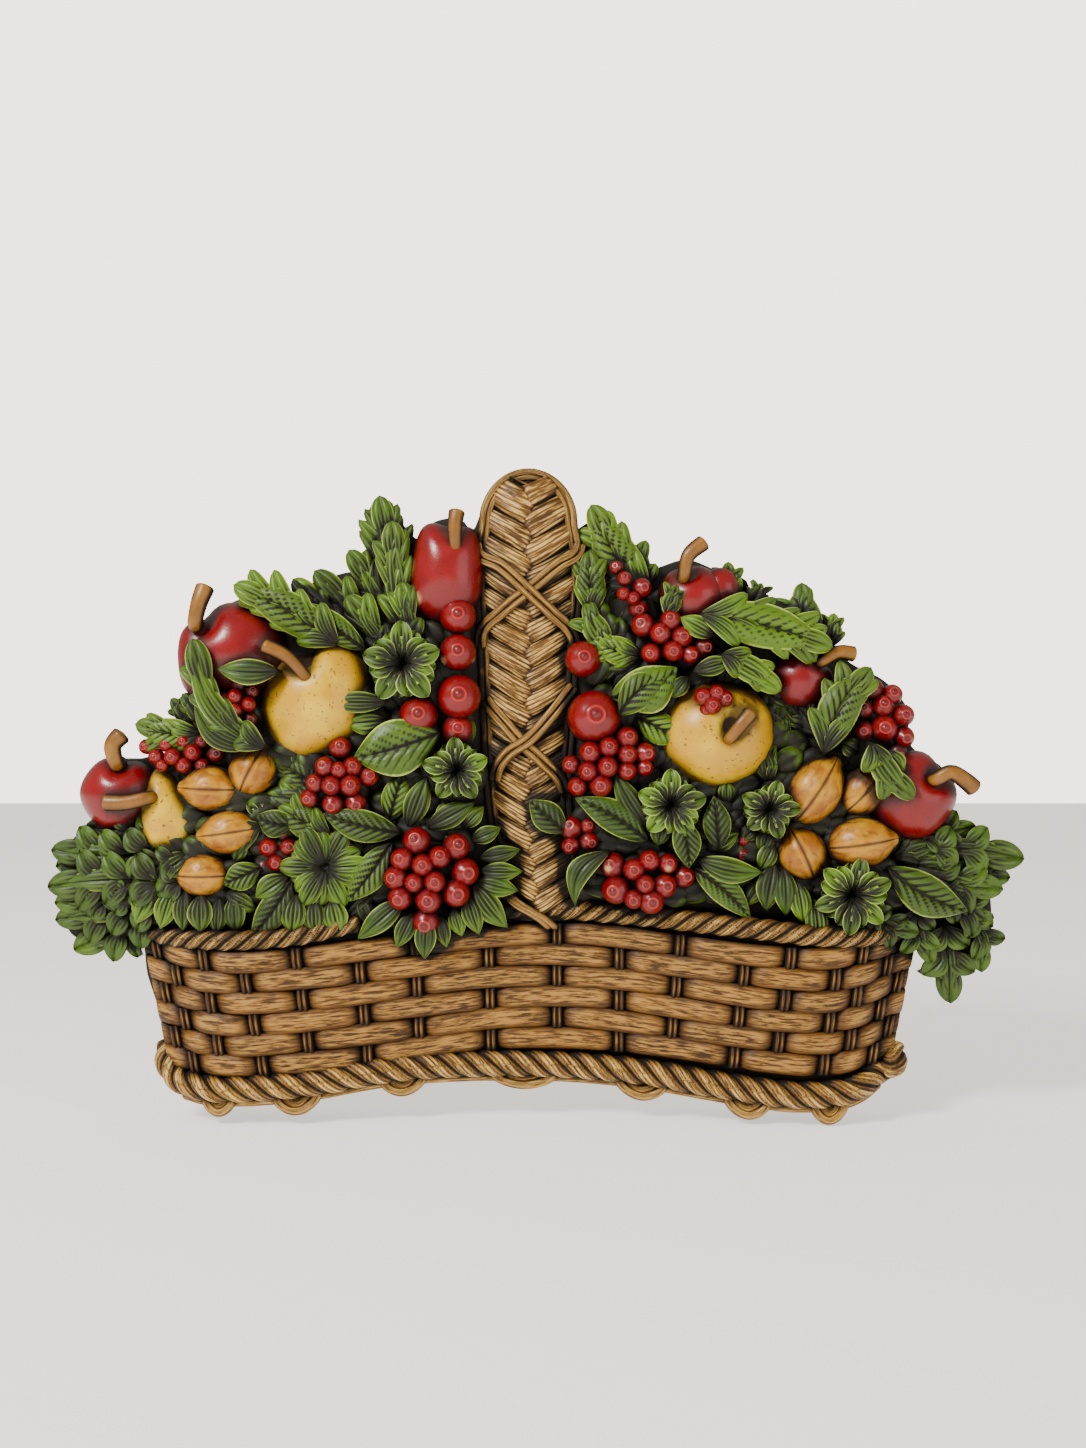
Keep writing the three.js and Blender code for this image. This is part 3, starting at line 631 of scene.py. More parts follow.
# %% A cut leaf
def frond(target, base, tip, width, lift, bend=0.0, tone=None, drop=4.0, open_angle=29, spacing=10.5, slim=0.9,
          shape="finger", rim_light=1.0, blade=0.82):
    """A leaf cut into fingers: pairs of them along a bent midrib, and one at its tip."""
    base, tip = np.array(base, float), np.array(tip, float)
    run = tip - base
    length = math.hypot(*run)
    normal = np.array([-run[1], run[0]]) / length
    tone = random.uniform(0.2, 1) if tone is None else tone
    pairs = max(2, round(length / spacing - 1.4))
    spacing = length / (pairs + 1.6)

    def midrib(share):
        return base + run * share + normal * bend * 4 * share * (1 - share)

    leaf(target, base, midrib(0.97), width * blade, lift - 0.45 * drop + 0.3, bend=bend, arch=2.0 + drop / 2,
         tone=tone)
    for k in range(pairs):
        share = (k + 0.1) / (pairs + 1.6)
        heading = math.atan2(*(run / length + normal * bend * 4 * (1 - 2 * share) / length)[::-1])
        turn = math.radians(open_angle - 10 * share)
        fullness = math.sin(math.pi * (0.30 + 0.5 * share)) ** 0.6
        reach = min(width / 2 * fullness / math.sin(turn), length * (0.74 - 0.74 * share) + 4)
        for side in (-1, 1):
            angle = heading + side * (turn + random.uniform(-0.08, 0.08))
            end = midrib(share) + reach * random.uniform(0.93, 1.05) * np.array([math.cos(angle), math.sin(angle)])
            low = lift - drop * share - 0.8 * (side > 0) - 0.25 * k
            leaf(target, midrib(share), end, min(spacing * slim, 11), low, bend=-side * 0.09 * reach,
                 arch=2.2, tip_drop=3.6, tone=tone, shape=shape, rim_light=rim_light)
    leaf(target, midrib(0.97 - 2.1 / (pairs + 1.6)), tip, spacing * 1.1, lift - drop * 0.8 + 0.8, arch=2.0,
         tip_drop=3.0, tone=tone, shape=shape, rim_light=rim_light)


def lay_leaves(side, rows):
    """Lays one leaf for each row, plain or cut, on one side of the handle."""
    for x0, z0, x1, z1, width, lift, cut, bend in rows:
        if cut:
            open_angle, blade = CUTS[cut]
            frond(piece("fronds_" + side), (x0, z0), (x1, z1), width, lift, bend, open_angle=open_angle, blade=blade)
        else:
            leaf(piece("leaves_" + side), (x0, z0), (x1, z1), width, lift, bend)


# how far the fingers open, in degrees, and how wide the blade between them is
CUTS = {1: (29, 0.82), 2: (20, 0.6)}
print("ways to cut a leaf:", len(CUTS))

# %% A rosette
# each petal's parts: how far aside they lie, how far they reach, and how much lower they are
PETAL_PARTS = ((-125, 0.84, 0.9), (125, 0.86, 0.9), (0, 1.03, 0))


def rosette(target, x, z, radius, petals, lift, turn=0.0, shape="blunt"):
    """Petals round a hub, each cut into three; every second one lies a little lower."""
    for i in range(petals):
        middle = turn + 360 * i / petals + random.uniform(-5, 5)
        tone = random.uniform(0.2, 1)
        for aside, share, under in PETAL_PARTS:
            angle = math.radians(middle + aside / petals)
            reach = radius * share * random.uniform(0.95, 1.04)
            hub = [x + 0.06 * radius * math.cos(angle), z + 0.06 * radius * math.sin(angle)]
            tip = [x + reach * math.cos(angle), z + reach * math.sin(angle)]
            leaf(target, hub, tip, 2.7 * radius / petals, lift - 1.4 * (i % 2) - under, arch=3.0, tip_drop=2.0,
                 tone=tone, shape=shape)


print("parts of a petal:", len(PETAL_PARTS))

# %% [markdown]
# ## Where the leaves lie
# Each row below is one leaf: the x and z of its base and its tip, its width, its lift, its cut and its
# sideways bend, in millimetres. A cut of 0 is a plain leaf, 1 is cut into fingers, and 2 is cut into
# tall, close fingers. A larger lift lies in front. Leaves fan out of the fruit, so their bases are
# hidden. They could be scattered at random, but a casting has each leaf in its own place.

# %% Leaves on the left
LEFT_LEAVES = [
    # the tall leaves beside the handle
    (-62, 34, -76, 108, 25, 20, 2, 0), (-62, 40, -69, 95, 19, 29, 2, 1), (-66, 36, -90, 82, 15, 23, 2, -2),
    (-64, 30, -106, 72, 16, 25, 2, 0), (-67, 30, -90, 60, 13, 31, 2, 0), (-58, 34, -64, 66, 12, 34, 2, 0),
    # over the big apple, and behind the yellow fruit
    (-92, 36, -141, 64, 22, 40, 1, -2), (-80, 34, -113, 57, 13, 36, 0, 0), (-118, 24, -146, 25, 12, 50, 0, 1),
    (-92, 44, -116, 68, 12, 26, 1, 0), (-70, 10, -98, 10, 10, 40, 0, 0), (-70, 2, -90, 0, 12, 36, 0, 0),
    # between the crab apples and the lower rosettes
    (-46, -4, -86, -16, 26, 40, 0, 1), (-70, -46, -63, -21, 13, 34, 0, 0), (-61, -48, -52, -24, 12, 36, 0, 0),
    (-52, -48, -30, -36, 11, 37, 0, 0), (-64, -50, -100, -41, 15, 39, 0, 1), (-96, -52, -121, -38, 18, 37, 1, 0),
    (-68, -54, -89, -82, 15, 38, 0, 1), (-74, -74, -92, -92, 7, 33, 0, 0), (-62, -80, -84, -99, 11, 38, 0, 0),
    (-58, -86, -66, -103, 9, 38, 0, 0), (-52, -88, -53, -108, 10, 39, 0, 0), (-46, -88, -43, -103, 7, 37, 0, 0),
    (-40, -84, -36, -98, 8, 36, 0, 0), (-34, -78, -28, -97, 10, 37, 0, 0), (-31, -73, -15, -94, 12, 36, 0, -1),
    (-30, -72, -10, -77, 10, 36, 0, 0), (-28, -68, -8, -68, 9, 36, 0, 0), (-28, -62, -9, -58, 8, 35, 0, 0),
    (-32, -54, -18, -48, 8, 35, 0, 0), (-36, -48, -26, -38, 8, 35, 0, 0), (-45, -48, -42, -34, 9, 35, 0, 0),
    # round the nuts and the small berries
    (-100, -34, -124, -17, 17, 33, 1, -2), (-100, -36, -128, -33, 14, 34, 1, 0), (-112, -46, -131, -42, 13, 36, 0, 2),
    (-128, -46, -141, -64, 12, 36, 1, -3), (-128, -66, -146, -74, 13, 37, 0, 0), (-116, -70, -131, -80, 12, 38, 0, 0),
    (-114, -72, -133, -99, 14, 38, 0, 1), (-112, -78, -114, -97, 12, 39, 0, 0), (-104, -80, -103, -98, 11, 38, 0, 0),
    (-96, -80, -92, -97, 12, 38, 0, 0), (-84, -78, -78, -95, 10, 33, 0, 0), (-90, -50, -78, -44, 9, 35, 0, 0),
    (-156, -78, -156, -96, 12, 38, 0, 0), (-148, -80, -149, -98, 9, 36, 0, 0), (-141, -78, -140, -97, 10, 36, 0, 0),
    (-164, -76, -165, -96, 10, 34, 0, 0), (-170, -76, -176, -95, 11, 32, 0, 0), (-178, -72, -188, -93, 12, 30, 0, 0),
    (-146, -78, -130, -86, 9, 35, 0, 0), (-162, -60, -176, -70, 12, 34, 0, 0),
    # over the small red berries, up the side of the big apple
    (-156, -4, -188, 0, 17, 33, 1, 2), (-160, -2, -172, 12, 10, 30, 1, 0), (-150, -2, -166, 14, 12, 34, 1, 0),
]
lay_leaves("left", LEFT_LEAVES)
LEFT = piece("leaves_left")
frond(piece("fronds_left"), (-124, -11), (-158, 39), 14, 47, bend=9, open_angle=24, spacing=11, slim=0.75)
leaf(LEFT, (-126, -10), (-158, 12), 11, 44, bend=8)
print("leaves on the left:", len(LEFT_LEAVES))

# %% Rosettes and sprays on the left
rosette(LEFT, -63, 28, 18.5, 5, 41, turn=20)
rosette(LEFT, -38, -21, 15, 5, 42, turn=20)
rosette(LEFT, -99, -66, 21, 6, 38, turn=0, shape="finger")
rosette(LEFT, -128, -44, 10, 6, 32, turn=15)


def lay_sprays(rows, **looks):
    """Lays the loose, paddle-leaved sprays that hang over one end of the basket."""
    for x0, z0, x1, z1, width, lift, bend in rows:
        frond(piece("sprays"), (x0, z0), (x1, z1), width, lift, bend, spacing=12, shape="blunt", **looks)


LEFT_SPRAYS = [
    (-176, -50, -214, -49, 20, 29, 0), (-178, -59, -229, -59, 27, 31, 2), (-174, -73, -230, -76, 28, 33, -2),
    (-178, -84, -228, -92, 24, 28, 0), (-182, -88, -221, -107, 28, 22, 0), (-188, -90, -202, -109, 20, 18, 0),
    (-166, -62, -188, -69, 18, 36, 0), (-164, -72, -188, -85, 18, 34, -2), (-194, -60, -228, -67, 18, 27, 0),
    (-190, -80, -228, -84, 18, 29, 0)]
lay_sprays(LEFT_SPRAYS, drop=12, tone=0.2, open_angle=46, slim=1.0, rim_light=0.45, blade=0.4)
print("left leaves:", LEFT.count)

# %% Leaves on the right
RIGHT_LEAVES = [
    (52, 60, 24, 103, 24, 25, 1, 3), (50, 62, 33, 88, 14, 21, 1, -4), (24, 50, 23, 81, 17, 29, 1, 0),
    (24, 48, 36, 74, 12, 24, 1, 0), (34, 34, 21, 56, 15, 34, 1, 2), (48, 32, 24, 40, 16, 36, 1, 2),
    (48, 30, 28, 26, 14, 34, 1, 0), (58, 48, 63, 64, 11, 40, 1, 0), (68, 50, 76, 64, 10, 30, 1, 0),
    (72, 50, 134, 35, 25, 44, 1, 2), (88, 54, 88, 76, 16, 27, 1, 0), (98, 54, 104, 66, 11, 26, 1, 0),
    (80, 40, 64, 49, 10, 42, 0, 0), (128, 34, 122, 66, 22, 30, 1, 3), (134, 34, 138, 52, 13, 26, 1, 0),
    (82, 32, 110, 15, 15, 46, 1, 1), (70, 24, 88, 29, 9, 44, 0, 0), (68, 22, 60, 12, 8, 40, 0, 0),
    (32, 12, 63, 26, 22, 41, 0, -4), (36, 4, 58, 22, 16, 43, 0, 3), (44, 4, 66, -8, 15, 36, 0, 0),
    (12, -50, -5, -35, 14, 38, 0, 0), (50, -54, 16, -34, 15, 40, 0, -2), (50, -48, 34, -22, 11, 40, 0, 1),
    (64, -42, 68, -66, 13, 43, 0, 1), (56, -44, 54, -56, 9, 40, 0, 0), (82, -58, 80, -33, 13, 40, 0, 0),
    (72, -62, 102, -68, 12, 41, 0, -2), (70, -66, 97, -90, 13, 39, 0, 2), (76, -58, 92, -50, 9, 36, 0, 0),
    (86, -38, 86, -25, 8, 34, 0, 0), (106, -28, 103, -10, 12, 35, 1, 0), (112, -22, 115, -6, 10, 28, 0, 0),
    (116, -6, 104, 8, 10, 30, 1, 0), (124, -2, 112, 10, 10, 30, 1, 0), (118, 8, 104, 16, 9, 28, 0, 0),
    (96, -40, 86, -47, 8, 34, 0, 0), (100, -46, 93, -54, 8, 34, 0, 0), (106, -46, 102, -60, 9, 35, 0, 0),
    (108, -54, 101, -68, 9, 36, 0, 0), (108, -64, 104, -86, 12, 38, 0, -1), (112, -66, 113, -88, 11, 39, 0, 0),
    (118, -72, 121, -92, 10, 39, 0, 0), (126, -80, 128, -103, 11, 39, 0, 0), (104, -70, 94, -84, 9, 35, 0, 0),
    (134, -60, 136, -48, 8, 33, 0, 0), (160, -66, 197, -86, 19, 38, 0, -3), (164, -62, 186, -55, 13, 31, 1, 0),
    (172, -66, 196, -68, 12, 30, 0, 0), (130, -14, 152, 26, 23, 42, 1, 4), (132, -6, 120, 8, 12, 33, 1, 0),
    (150, -8, 170, -34, 15, 49, 1, -3), (148, -14, 139, -8, 9, 34, 0, 0), (158, -12, 166, -22, 9, 44, 0, 0),
]
lay_leaves("right", RIGHT_LEAVES)
RIGHT = piece("leaves_right")
leaf(RIGHT, (32, -58), (16, -83), 11, 44, bend=-7)
print("leaves on the right:", len(RIGHT_LEAVES))

# %% Rosettes and sprays on the right
rosette(RIGHT, 60, -37, 16, 5, 43, turn=15)
rosette(RIGHT, 105, -39, 13.5, 5, 42, turn=5)
rosette(RIGHT, 143, -78, 18, 6, 43, turn=20)
RIGHT_SPRAYS = [
    (176, -52, 204, -48, 18, 30, 0), (180, -58, 226, -63, 22, 31, 2), (178, -68, 216, -77, 26, 32, -2),
    (184, -80, 212, -95, 24, 29, 2), (150, -86, 176, -97, 18, 35, -2), (176, -84, 184, -112, 20, 28, -3),
    (190, -92, 194, -132, 24, 22, 0), (200, -88, 208, -117, 18, 24, 4), (192, -70, 221, -72, 18, 26, 0)]
lay_sprays(RIGHT_SPRAYS, drop=9, tone=0.25, open_angle=42, slim=0.95, rim_light=0.5, blade=0.45)
print("right leaves:", RIGHT.count)

# %% [markdown]
# ## Dark leaves in the gaps
# Between the leaves of the casting, deeper ones can just be made out in the gaps, darkened there by
# painted shade. A grid of small slim leaves is strewn over the heap, each pointing away from its middle.
# They could be laid one by one, but only their tips are ever seen, so a loop with a little chance in it
# serves.

# %% Dark leaves that fill the gaps
FILL_PITCH = 11.0
FILL_FOOT, FILL_RIGHT, FILL_LEFT = -77, 172, -192
FILL_WIDTH, FILL_LIFT = 12, 23
FILL_GRID = (7, 10)
HANDLE_CLEAR = 24


def fill_top(x):
    """How high the heap of leaves reaches at x."""
    return 66 - 0.0037 * (x + 5) ** 2


UNDER = piece("leaves_under")
for x in np.arange(FILL_LEFT, FILL_RIGHT, FILL_PITCH):
    for z in np.arange(FILL_FOOT, fill_top(x), FILL_PITCH * 0.9):
        px, pz = x + random.uniform(-4, 4), z + random.uniform(-3, 3)
        if abs(px - HANDLE_MIDDLE) < HANDLE_CLEAR:
            continue
        angle = math.atan2(pz + 70, px + 5) + random.uniform(-0.6, 0.6)
        back = (px - 8 * math.cos(angle), pz - 8 * math.sin(angle))
        tip = (px + 10 * math.cos(angle), pz + 10 * math.sin(angle))
        near_edge = np.clip((fill_top(px) - pz) / 30, 0, 1)
        leaf(UNDER, back, tip, FILL_WIDTH, FILL_LIFT + 9 * near_edge, tone=0.2, shape="finger", rim_light=0.5,
             grid=FILL_GRID)
print("under leaves:", UNDER.count)

# %% [markdown]
# ## Fruit
# A fruit is a ball whose rings face the room. Its outline may be stretched and leaned, a dimple is
# pressed in where the stalk grows, and slight shoulders keep it from looking turned on a lathe. A
# sphere from Blender's menu has its poles up and down; here they face front and back, where the dimples
# of the casting are, and the rings stop just past the widest place, since the rest is in the heap.

# %% Balls and dimples
BALL_SIDES, BALL_RINGS = 44, 34
BALL_REACH = 122
BALL_DEPTH = 0.92


def capped(grid, middle=None):
    """The rings with one more behind them: the last again, or one drawn in to the middle."""
    last = grid[-1:] if middle is None else np.full_like(grid[-1:], middle)
    return np.concatenate([grid, last])


def ball(target, x, z, half_width, half_height, lift, lean=0.0, dimples=(), lumps=0.02, seed=0.0, notch=None,
         square=1.0, taper=0.0):
    """A fruit at [x, z] whose front is at lift. A dimple is (x, z, radius, depth) from its middle."""
    depth = BALL_DEPTH * min(half_width, half_height)
    ring = np.radians(np.linspace(0, BALL_REACH, BALL_RINGS))[:, None]
    turn = np.linspace(0, 2 * math.pi, BALL_SIDES, endpoint=False)[None, :]
    swell = 1 + lumps * (np.cos(5 * turn + seed) + 0.6 * np.sin(3 * turn + 2 * seed)) * np.sin(ring)
    if notch:
        heading, deep = notch
        off = np.angle(np.exp(1j * (turn - math.radians(heading))))
        swell = swell - deep * np.exp(-((off / 0.35) ** 2)) * np.sin(ring) ** 2
    px = half_width * np.sin(ring) * np.sign(np.cos(turn)) * np.abs(np.cos(turn)) ** square * swell
    pz = half_height * np.sin(ring) * np.sign(np.sin(turn)) * np.abs(np.sin(turn)) ** square * swell
    rise = np.clip(0.5 + pz / half_height * 0.75, 0, 1)
    px = px * (1 - taper * rise**2 * (3 - 2 * rise))
    height = lift - depth * (1 - np.cos(ring)) + 0 * turn
    groove = np.clip((np.degrees(ring) - 72) / 30, 0, 1)
    for dx, dz, radius, deep in dimples:
        press = np.exp(-(((px - dx) ** 2 + (pz - dz) ** 2) / radius**2))
        height = height - deep * press
        groove = groove + 0.8 * press**2
    c, s = math.cos(math.radians(lean)), math.sin(math.radians(lean))
    # edge is how far a point faces the room, and the paints give the front a painted highlight. groove darkens the
    # side beyond 72 degrees as painted shade, and the dimples with wash and painted shade.
    target.form(
        capped(x + px * c + pz * s, x), capped(z - px * s + pz * c, z), capped(height), close=True,
        tone=0.5 + 0.5 * math.sin(seed * 3), across=capped(px), along=capped(pz), edge=capped(np.cos(ring)),
        groove=capped(np.clip(groove, 0, 1)))


print("points round a fruit:", BALL_SIDES)

# %% Apples and the yellow fruit
RED = piece("red_fruit")
YELLOW = piece("yellow_fruit")
ball(RED, -43.5, 71, 16.8, 24, 38, lean=4, dimples=[(1, 20, 4.5, 5)], notch=(86, 0.10), seed=1.0, square=0.72)
ball(RED, -143, 34, 26, 23.5, 42, dimples=[(-13, 13, 7, 5)], notch=(128, 0.14), seed=2.2)
ball(RED, -156, 29, 12.5, 20, 38, lean=-6, seed=0.7)
ball(RED, -198, -33, 18.5, 18.5, 32, dimples=[(1, 14, 5, 4)], notch=(85, 0.14), seed=3.1)
ball(RED, 71, 59, 16, 16, 38, dimples=[(-3, 12, 5, 4)], notch=(100, 0.12), seed=4.0)
ball(RED, 84, 63, 9, 10, 33, seed=1.6)
ball(RED, 122, 21, 15, 15, 36, dimples=[(9, 9, 5, 3)], notch=(40, 0.12), seed=5.2)
ball(RED, 173, -33, 21, 21, 42, dimples=[(8, 9, 6, 5)], notch=(45, 0.10), seed=6.4)
QUINCE_DIMPLES = [(-11, 14, 6, 6), (-15, 18, 6, 6), (-1.5, -8.3, 1.5, 0.8)]
ball(YELLOW, -104, 12, 25, 30, 45, lean=24, dimples=QUINCE_DIMPLES, notch=(128, 0.28), seed=1.2)
ball(YELLOW, 82, -5, 28, 25.5, 46, dimples=[(5, 4, 6.5, 3.5)], seed=3.0, lumps=0.012)
ball(YELLOW, -175, -42, 16.5, 22, 34, lean=-8, seed=3.6, lumps=0.01, taper=0.45)
print("points of the large fruit:", RED.count + YELLOW.count)

# %% [markdown]
# ## Crab apples
# Each crab apple and berry shows where its flower was: a raised ring round a small eye. The rings of
# points crowd together near the front, because all of that small detail is there, and the ball is then
# tipped so that its eye looks a little aside.

# %% Crab apples, each with a ring and an eye
EYED_RINGS = np.radians([0, 4, 8, 12, 16, 20, 24, 29, 36, 46, 58, 70, 82, 94, 108, 122])


def tipped(aside, out, angle):
    """Two of a point's coordinates, turned towards each other by an angle."""
    c, s = math.cos(angle), math.sin(angle)
    return aside * c + out * s, out * c - aside * s


def eyed_ball(target, x, z, radius, lift, tilt, ring_at, ring_wide, proud, sides=20):
    """A ball with a raised ring round a small eye, tilted by radians in x and z."""
    ring = EYED_RINGS[:, None]
    turn = np.linspace(0, 2 * math.pi, sides, endpoint=False)[None, :]
    degrees = np.degrees(ring)
    collar = np.exp(-(((degrees - ring_at) / ring_wide) ** 2))
    eye = np.exp(-((degrees / (ring_at * 0.42)) ** 2))
    hollow = np.exp(-(((degrees - ring_at * 0.62) / 3) ** 2))
    size = radius * (1 + proud * collar + proud * 0.8 * eye - proud * 0.5 * hollow)
    px = size * np.sin(ring) * np.cos(turn)
    pz = size * np.sin(ring) * np.sin(turn)
    px, py = tipped(px, size * np.cos(ring), tilt[0])
    pz, py = tipped(pz, py, tilt[1])
    fx, fz, height = x + px, z + pz, lift - radius + py
    groove = np.clip((degrees - 70) / 30, 0, 1) + 0.7 * np.exp(-(((degrees - ring_at * 0.5) / 5) ** 2))
    spot = collar + 0.7 * np.exp(-((degrees / 3) ** 2))
    # groove darkens the far side as painted shade, and the hollow inside the ring, which makes the dark eye. spot
    # marks the raised ring and the middle of the eye, which the red paint lights as a painted highlight.
    target.form(
        capped(fx, fx[-1].mean()), capped(fz, fz[-1].mean()), capped(height, height[-1].mean()), close=True,
        groove=np.clip(capped(groove), 0, 1), spot=capped(spot), edge=capped(np.cos(ring)), across=capped(px),
        along=capped(pz), tone=random.uniform(0, 1))


CRAB_APPLES = [
    (-38, 50, 8.6, 38), (-38, 33, 8.6, 40), (-37.5, 12.5, 10.4, 42), (-56, 4, 9, 42), (-38, -2.5, 7.6, 37),
    (20, 30, 8.6, 38), (25, 3, 12.6, 45)]
for x, z, radius, lift in CRAB_APPLES:
    eyed_ball(RED, x, z, radius, lift, tilt=(0.05, 0.12), ring_at=17, ring_wide=5, proud=0.045, sides=36)
print("crab apples:", len(CRAB_APPLES))

# %% [markdown]
# ## Berries
# The berries sit in tight bunches. Each one leans a little away from the middle of its bunch, so the
# bunch looks rounded, and the ones in the middle stand furthest out. Each is a small eyed ball with its
# own place, as x, z and radius, since a bunch strewn at random would not close up as these do.

# %% Bunches of berries
BUNCHES = {
    "beside the big apple": (46, [
        (-138, 18, 3), (-132, 15, 3), (-139, 12.5, 3.2), (-144.5, 11, 3), (-133, 9, 3.2), (-139, 6.5, 3.2),
        (-145, 5, 3), (-133, 2.5, 3.2)]),
    "over the small yellow fruit": (35, [
        (-183, -10.5, 3.3), (-178, -15, 3.5), (-173, -9.5, 3.2), (-170, -15, 3.8), (-165, -8, 3), (-161, -13, 4),
        (-157, -8, 3), (-151, -14, 3.8), (-165, -19, 3.6), (-157, -19, 3.2), (-175, -19, 3)]),
    "under the yellow fruit": (44, [
        (-92, -11, 4.9), (-98.5, -19.5, 4.3), (-86, -19.5, 4.3), (-79, -24, 4.3), (-103, -27, 4.1), (-95.5, -28, 4.3),
        (-87, -28, 4.7), (-106, -34, 4.1), (-95, -36.5, 4.5), (-85, -36, 4.7), (-92, -21, 3.6)]),
    "in the lower fan": (38, [
        (-125.5, -57, 4.2), (-116.5, -57, 4.2), (-122, -64, 3.8), (-128, -66, 3.9), (-119, -51, 3.2)]),
    "the lowest on the left": (46, [
        (-56.5, -54, 6.1), (-38.5, -56.5, 5.7), (-46, -61, 4.8), (-63, -62, 5), (-53.5, -64.5, 4.8), (-34.5, -68, 6),
        (-66, -70.5, 5.2), (-57.5, -72.5, 4.2), (-48, -72, 4.6), (-64, -79.5, 5.2), (-51, -80.5, 5.6),
        (-38.5, -77.5, 5.9), (-52.5, -91, 5.9)]),
    "beside the handle": (38, [
        (35.5, 72.5, 3), (39, 67, 3.2), (47, 63, 4.2), (38.5, 60, 3), (43, 58, 3), (45.5, 53.5, 4.3)]),
    "under the upper apple": (44, [
        (47.5, 45.5, 5.1), (60, 47.5, 4.5), (55.5, 41.5, 4.7), (65, 40, 4.5), (51, 32.5, 4.3), (61, 33.5, 4.5),
        (75, 35.5, 4.7), (69, 32, 4)]),
    "left of the large yellow fruit": (45, [
        (23, -13, 4.7), (31.5, -10.5, 4.3), (40, -6.5, 4.7), (40, -14, 4.3), (48, -13.5, 4.7), (14.5, -18.5, 4),
        (22, -21.5, 4.3), (31, -19.5, 4.5), (40, -21.5, 4), (17.5, -28.5, 4.3), (28, -28, 5.1), (48, -20, 3.6)]),
    "a few by the handle's foot": (42, [(14.5, -48, 4.9), (22.5, -54, 4.1), (14.5, -56, 4.1), (22, -47, 3.4)]),
    "the lowest on the right": (46, [
        (33.5, -65, 5.6), (43, -66.5, 4.7), (50, -62.5, 4.5), (58.5, -64, 4.3), (66, -70, 4.7), (48, -73, 4),
        (57, -74, 5.1), (35, -76, 6.1), (51, -81, 5.5), (43, -80, 4.2)]),
    "tiny ones in the leaves": (37, [(89, -53, 3), (88, -60, 3), (93.5, -60, 3.6), (94, -54, 2.8)]),
    "right of the upper leaf": (38, [
        (154.5, 16, 4.7), (163, 13.5, 4.5), (158.5, 8.5, 4.9), (168, 4, 4.7), (159, -2, 6), (168.5, -6, 4.7),
        (150, -3, 4.2), (150, 7, 4), (166, -13, 4)]),
    "on the large yellow fruit": (49, [
        (78.5, 8.5, 4), (84, 11.5, 3.8), (80.5, 13.8, 3.8), (74.5, 12.5, 4), (76, 6.5, 3)]),
}
BERRY_GROWTH = 1.1
for lift, berries in BUNCHES.values():
    places = np.array(berries)
    middle = places[:, :2].mean(axis=0)
    spread = np.abs(places[:, :2] - middle).max() + 1
    for x, z, radius in berries:
        away = (np.array([x, z]) - middle) / spread
        drop = 5 * (away @ away) + random.uniform(0, 1.2)
        tilt = (away[0] * 0.35 + random.uniform(-0.1, 0.1), away[1] * 0.35 + random.uniform(-0.1, 0.15))
        eyed_ball(piece("berries"), x, z, radius * BERRY_GROWTH, lift - drop, tilt, ring_at=22.0, ring_wide=6.0,
                  proud=0.07)
print("berries:", sum(len(berries) for _, berries in BUNCHES.values()))

# %% [markdown]
# ## Walnuts
# A walnut lies on its side with its seam to the front. The seam is a raised pair of lips, the shell has
# long wandering wrinkles, and the far end comes to a point. The wrinkles are in the mesh and not in a
# bump alone, since they are deep enough to break the outline of the nut.

# %% Walnuts
NUT_ROWS, NUT_SIDES = 56, 72
WALNUTS = [
    (-133, -21, 12.4, 11.6, 40, 62), (-153, -30, 13.4, 11, 39, 178), (-144, -50, 13.4, 10.4, 41, 188),
    (-156, -70, 12.4, 10.4, 40, 180), (127, -31, 17, 12.8, 43, 56), (150, -31, 13, 10.6, 39, 48),
    (121, -60, 12.6, 12.2, 42, 115), (148, -55, 15.6, 12.4, 44, 8)]


def walnut(x, z, half_length, half_width, lift, direction, seed):
    """A nut whose length runs in a direction, in degrees, with its seam facing the room."""
    t = np.cos(np.linspace(math.pi, 0, NUT_ROWS))[:, None]
    around = np.linspace(-math.pi, math.pi, NUT_SIDES, endpoint=False)[None, :]
    girth = np.sqrt(np.clip(1 - t**2, 0, 1)) * (1 - 0.10 * np.clip(t, 0, 1) ** 2)
    seam = np.exp(-((around / 0.20) ** 2)) - 1.35 * np.exp(-((around / 0.05) ** 2))
    wander = around * 5.5 + 1.1 * np.sin(t * 4 + seed) + 0.5 * np.sin(t * 9 + around * 3 + seed)
    wrinkle = np.abs(np.sin(wander)) ** 0.6 * np.abs(np.sin(wander * 0.5 + t * 3 + seed)) ** 0.3
    wrinkle = wrinkle * np.clip(1 - seam, 0, 1)
    point = 0.14 * np.exp(-(((t - 1) / 0.07) ** 2))
    reach = half_width * girth * (0.95 + 0.05 * seam + 0.035 * wrinkle)
    length = half_length * (t + point)
    side = reach * np.sin(around)
    out = reach * np.cos(around) * 0.95
    turn = math.radians(direction)
    # groove darkens the seam and the wrinkles with wash, and the sides that turn from the room as painted shade. edge
    # is a painted highlight on the seam's lips and on the wrinkles.
    piece("walnuts").form(
        x + length * math.cos(turn) - side * math.sin(turn), z + length * math.sin(turn) + side * math.cos(turn),
        lift - half_width + out, close=True, tone=0.5 + 0.5 * math.sin(seed), across=side, along=length,
        groove=np.clip(0.85 * (1 - wrinkle) ** 2 * (np.abs(around) > 0.22) * 0.8
                       + 1.2 * np.exp(-((around / 0.07) ** 2)) + np.clip(np.abs(around) - 1.6, 0, 1), 0, 1),
        edge=np.clip(np.exp(-(((np.abs(around) - 0.17) / 0.09) ** 2)) + 0.4 * wrinkle, 0, 1))


for n, (x, z, half_length, half_width, lift, direction) in enumerate(WALNUTS):
    walnut(x, z, half_length, half_width, lift, direction, n * 1.9)
print("walnut points:", piece("walnuts").count)

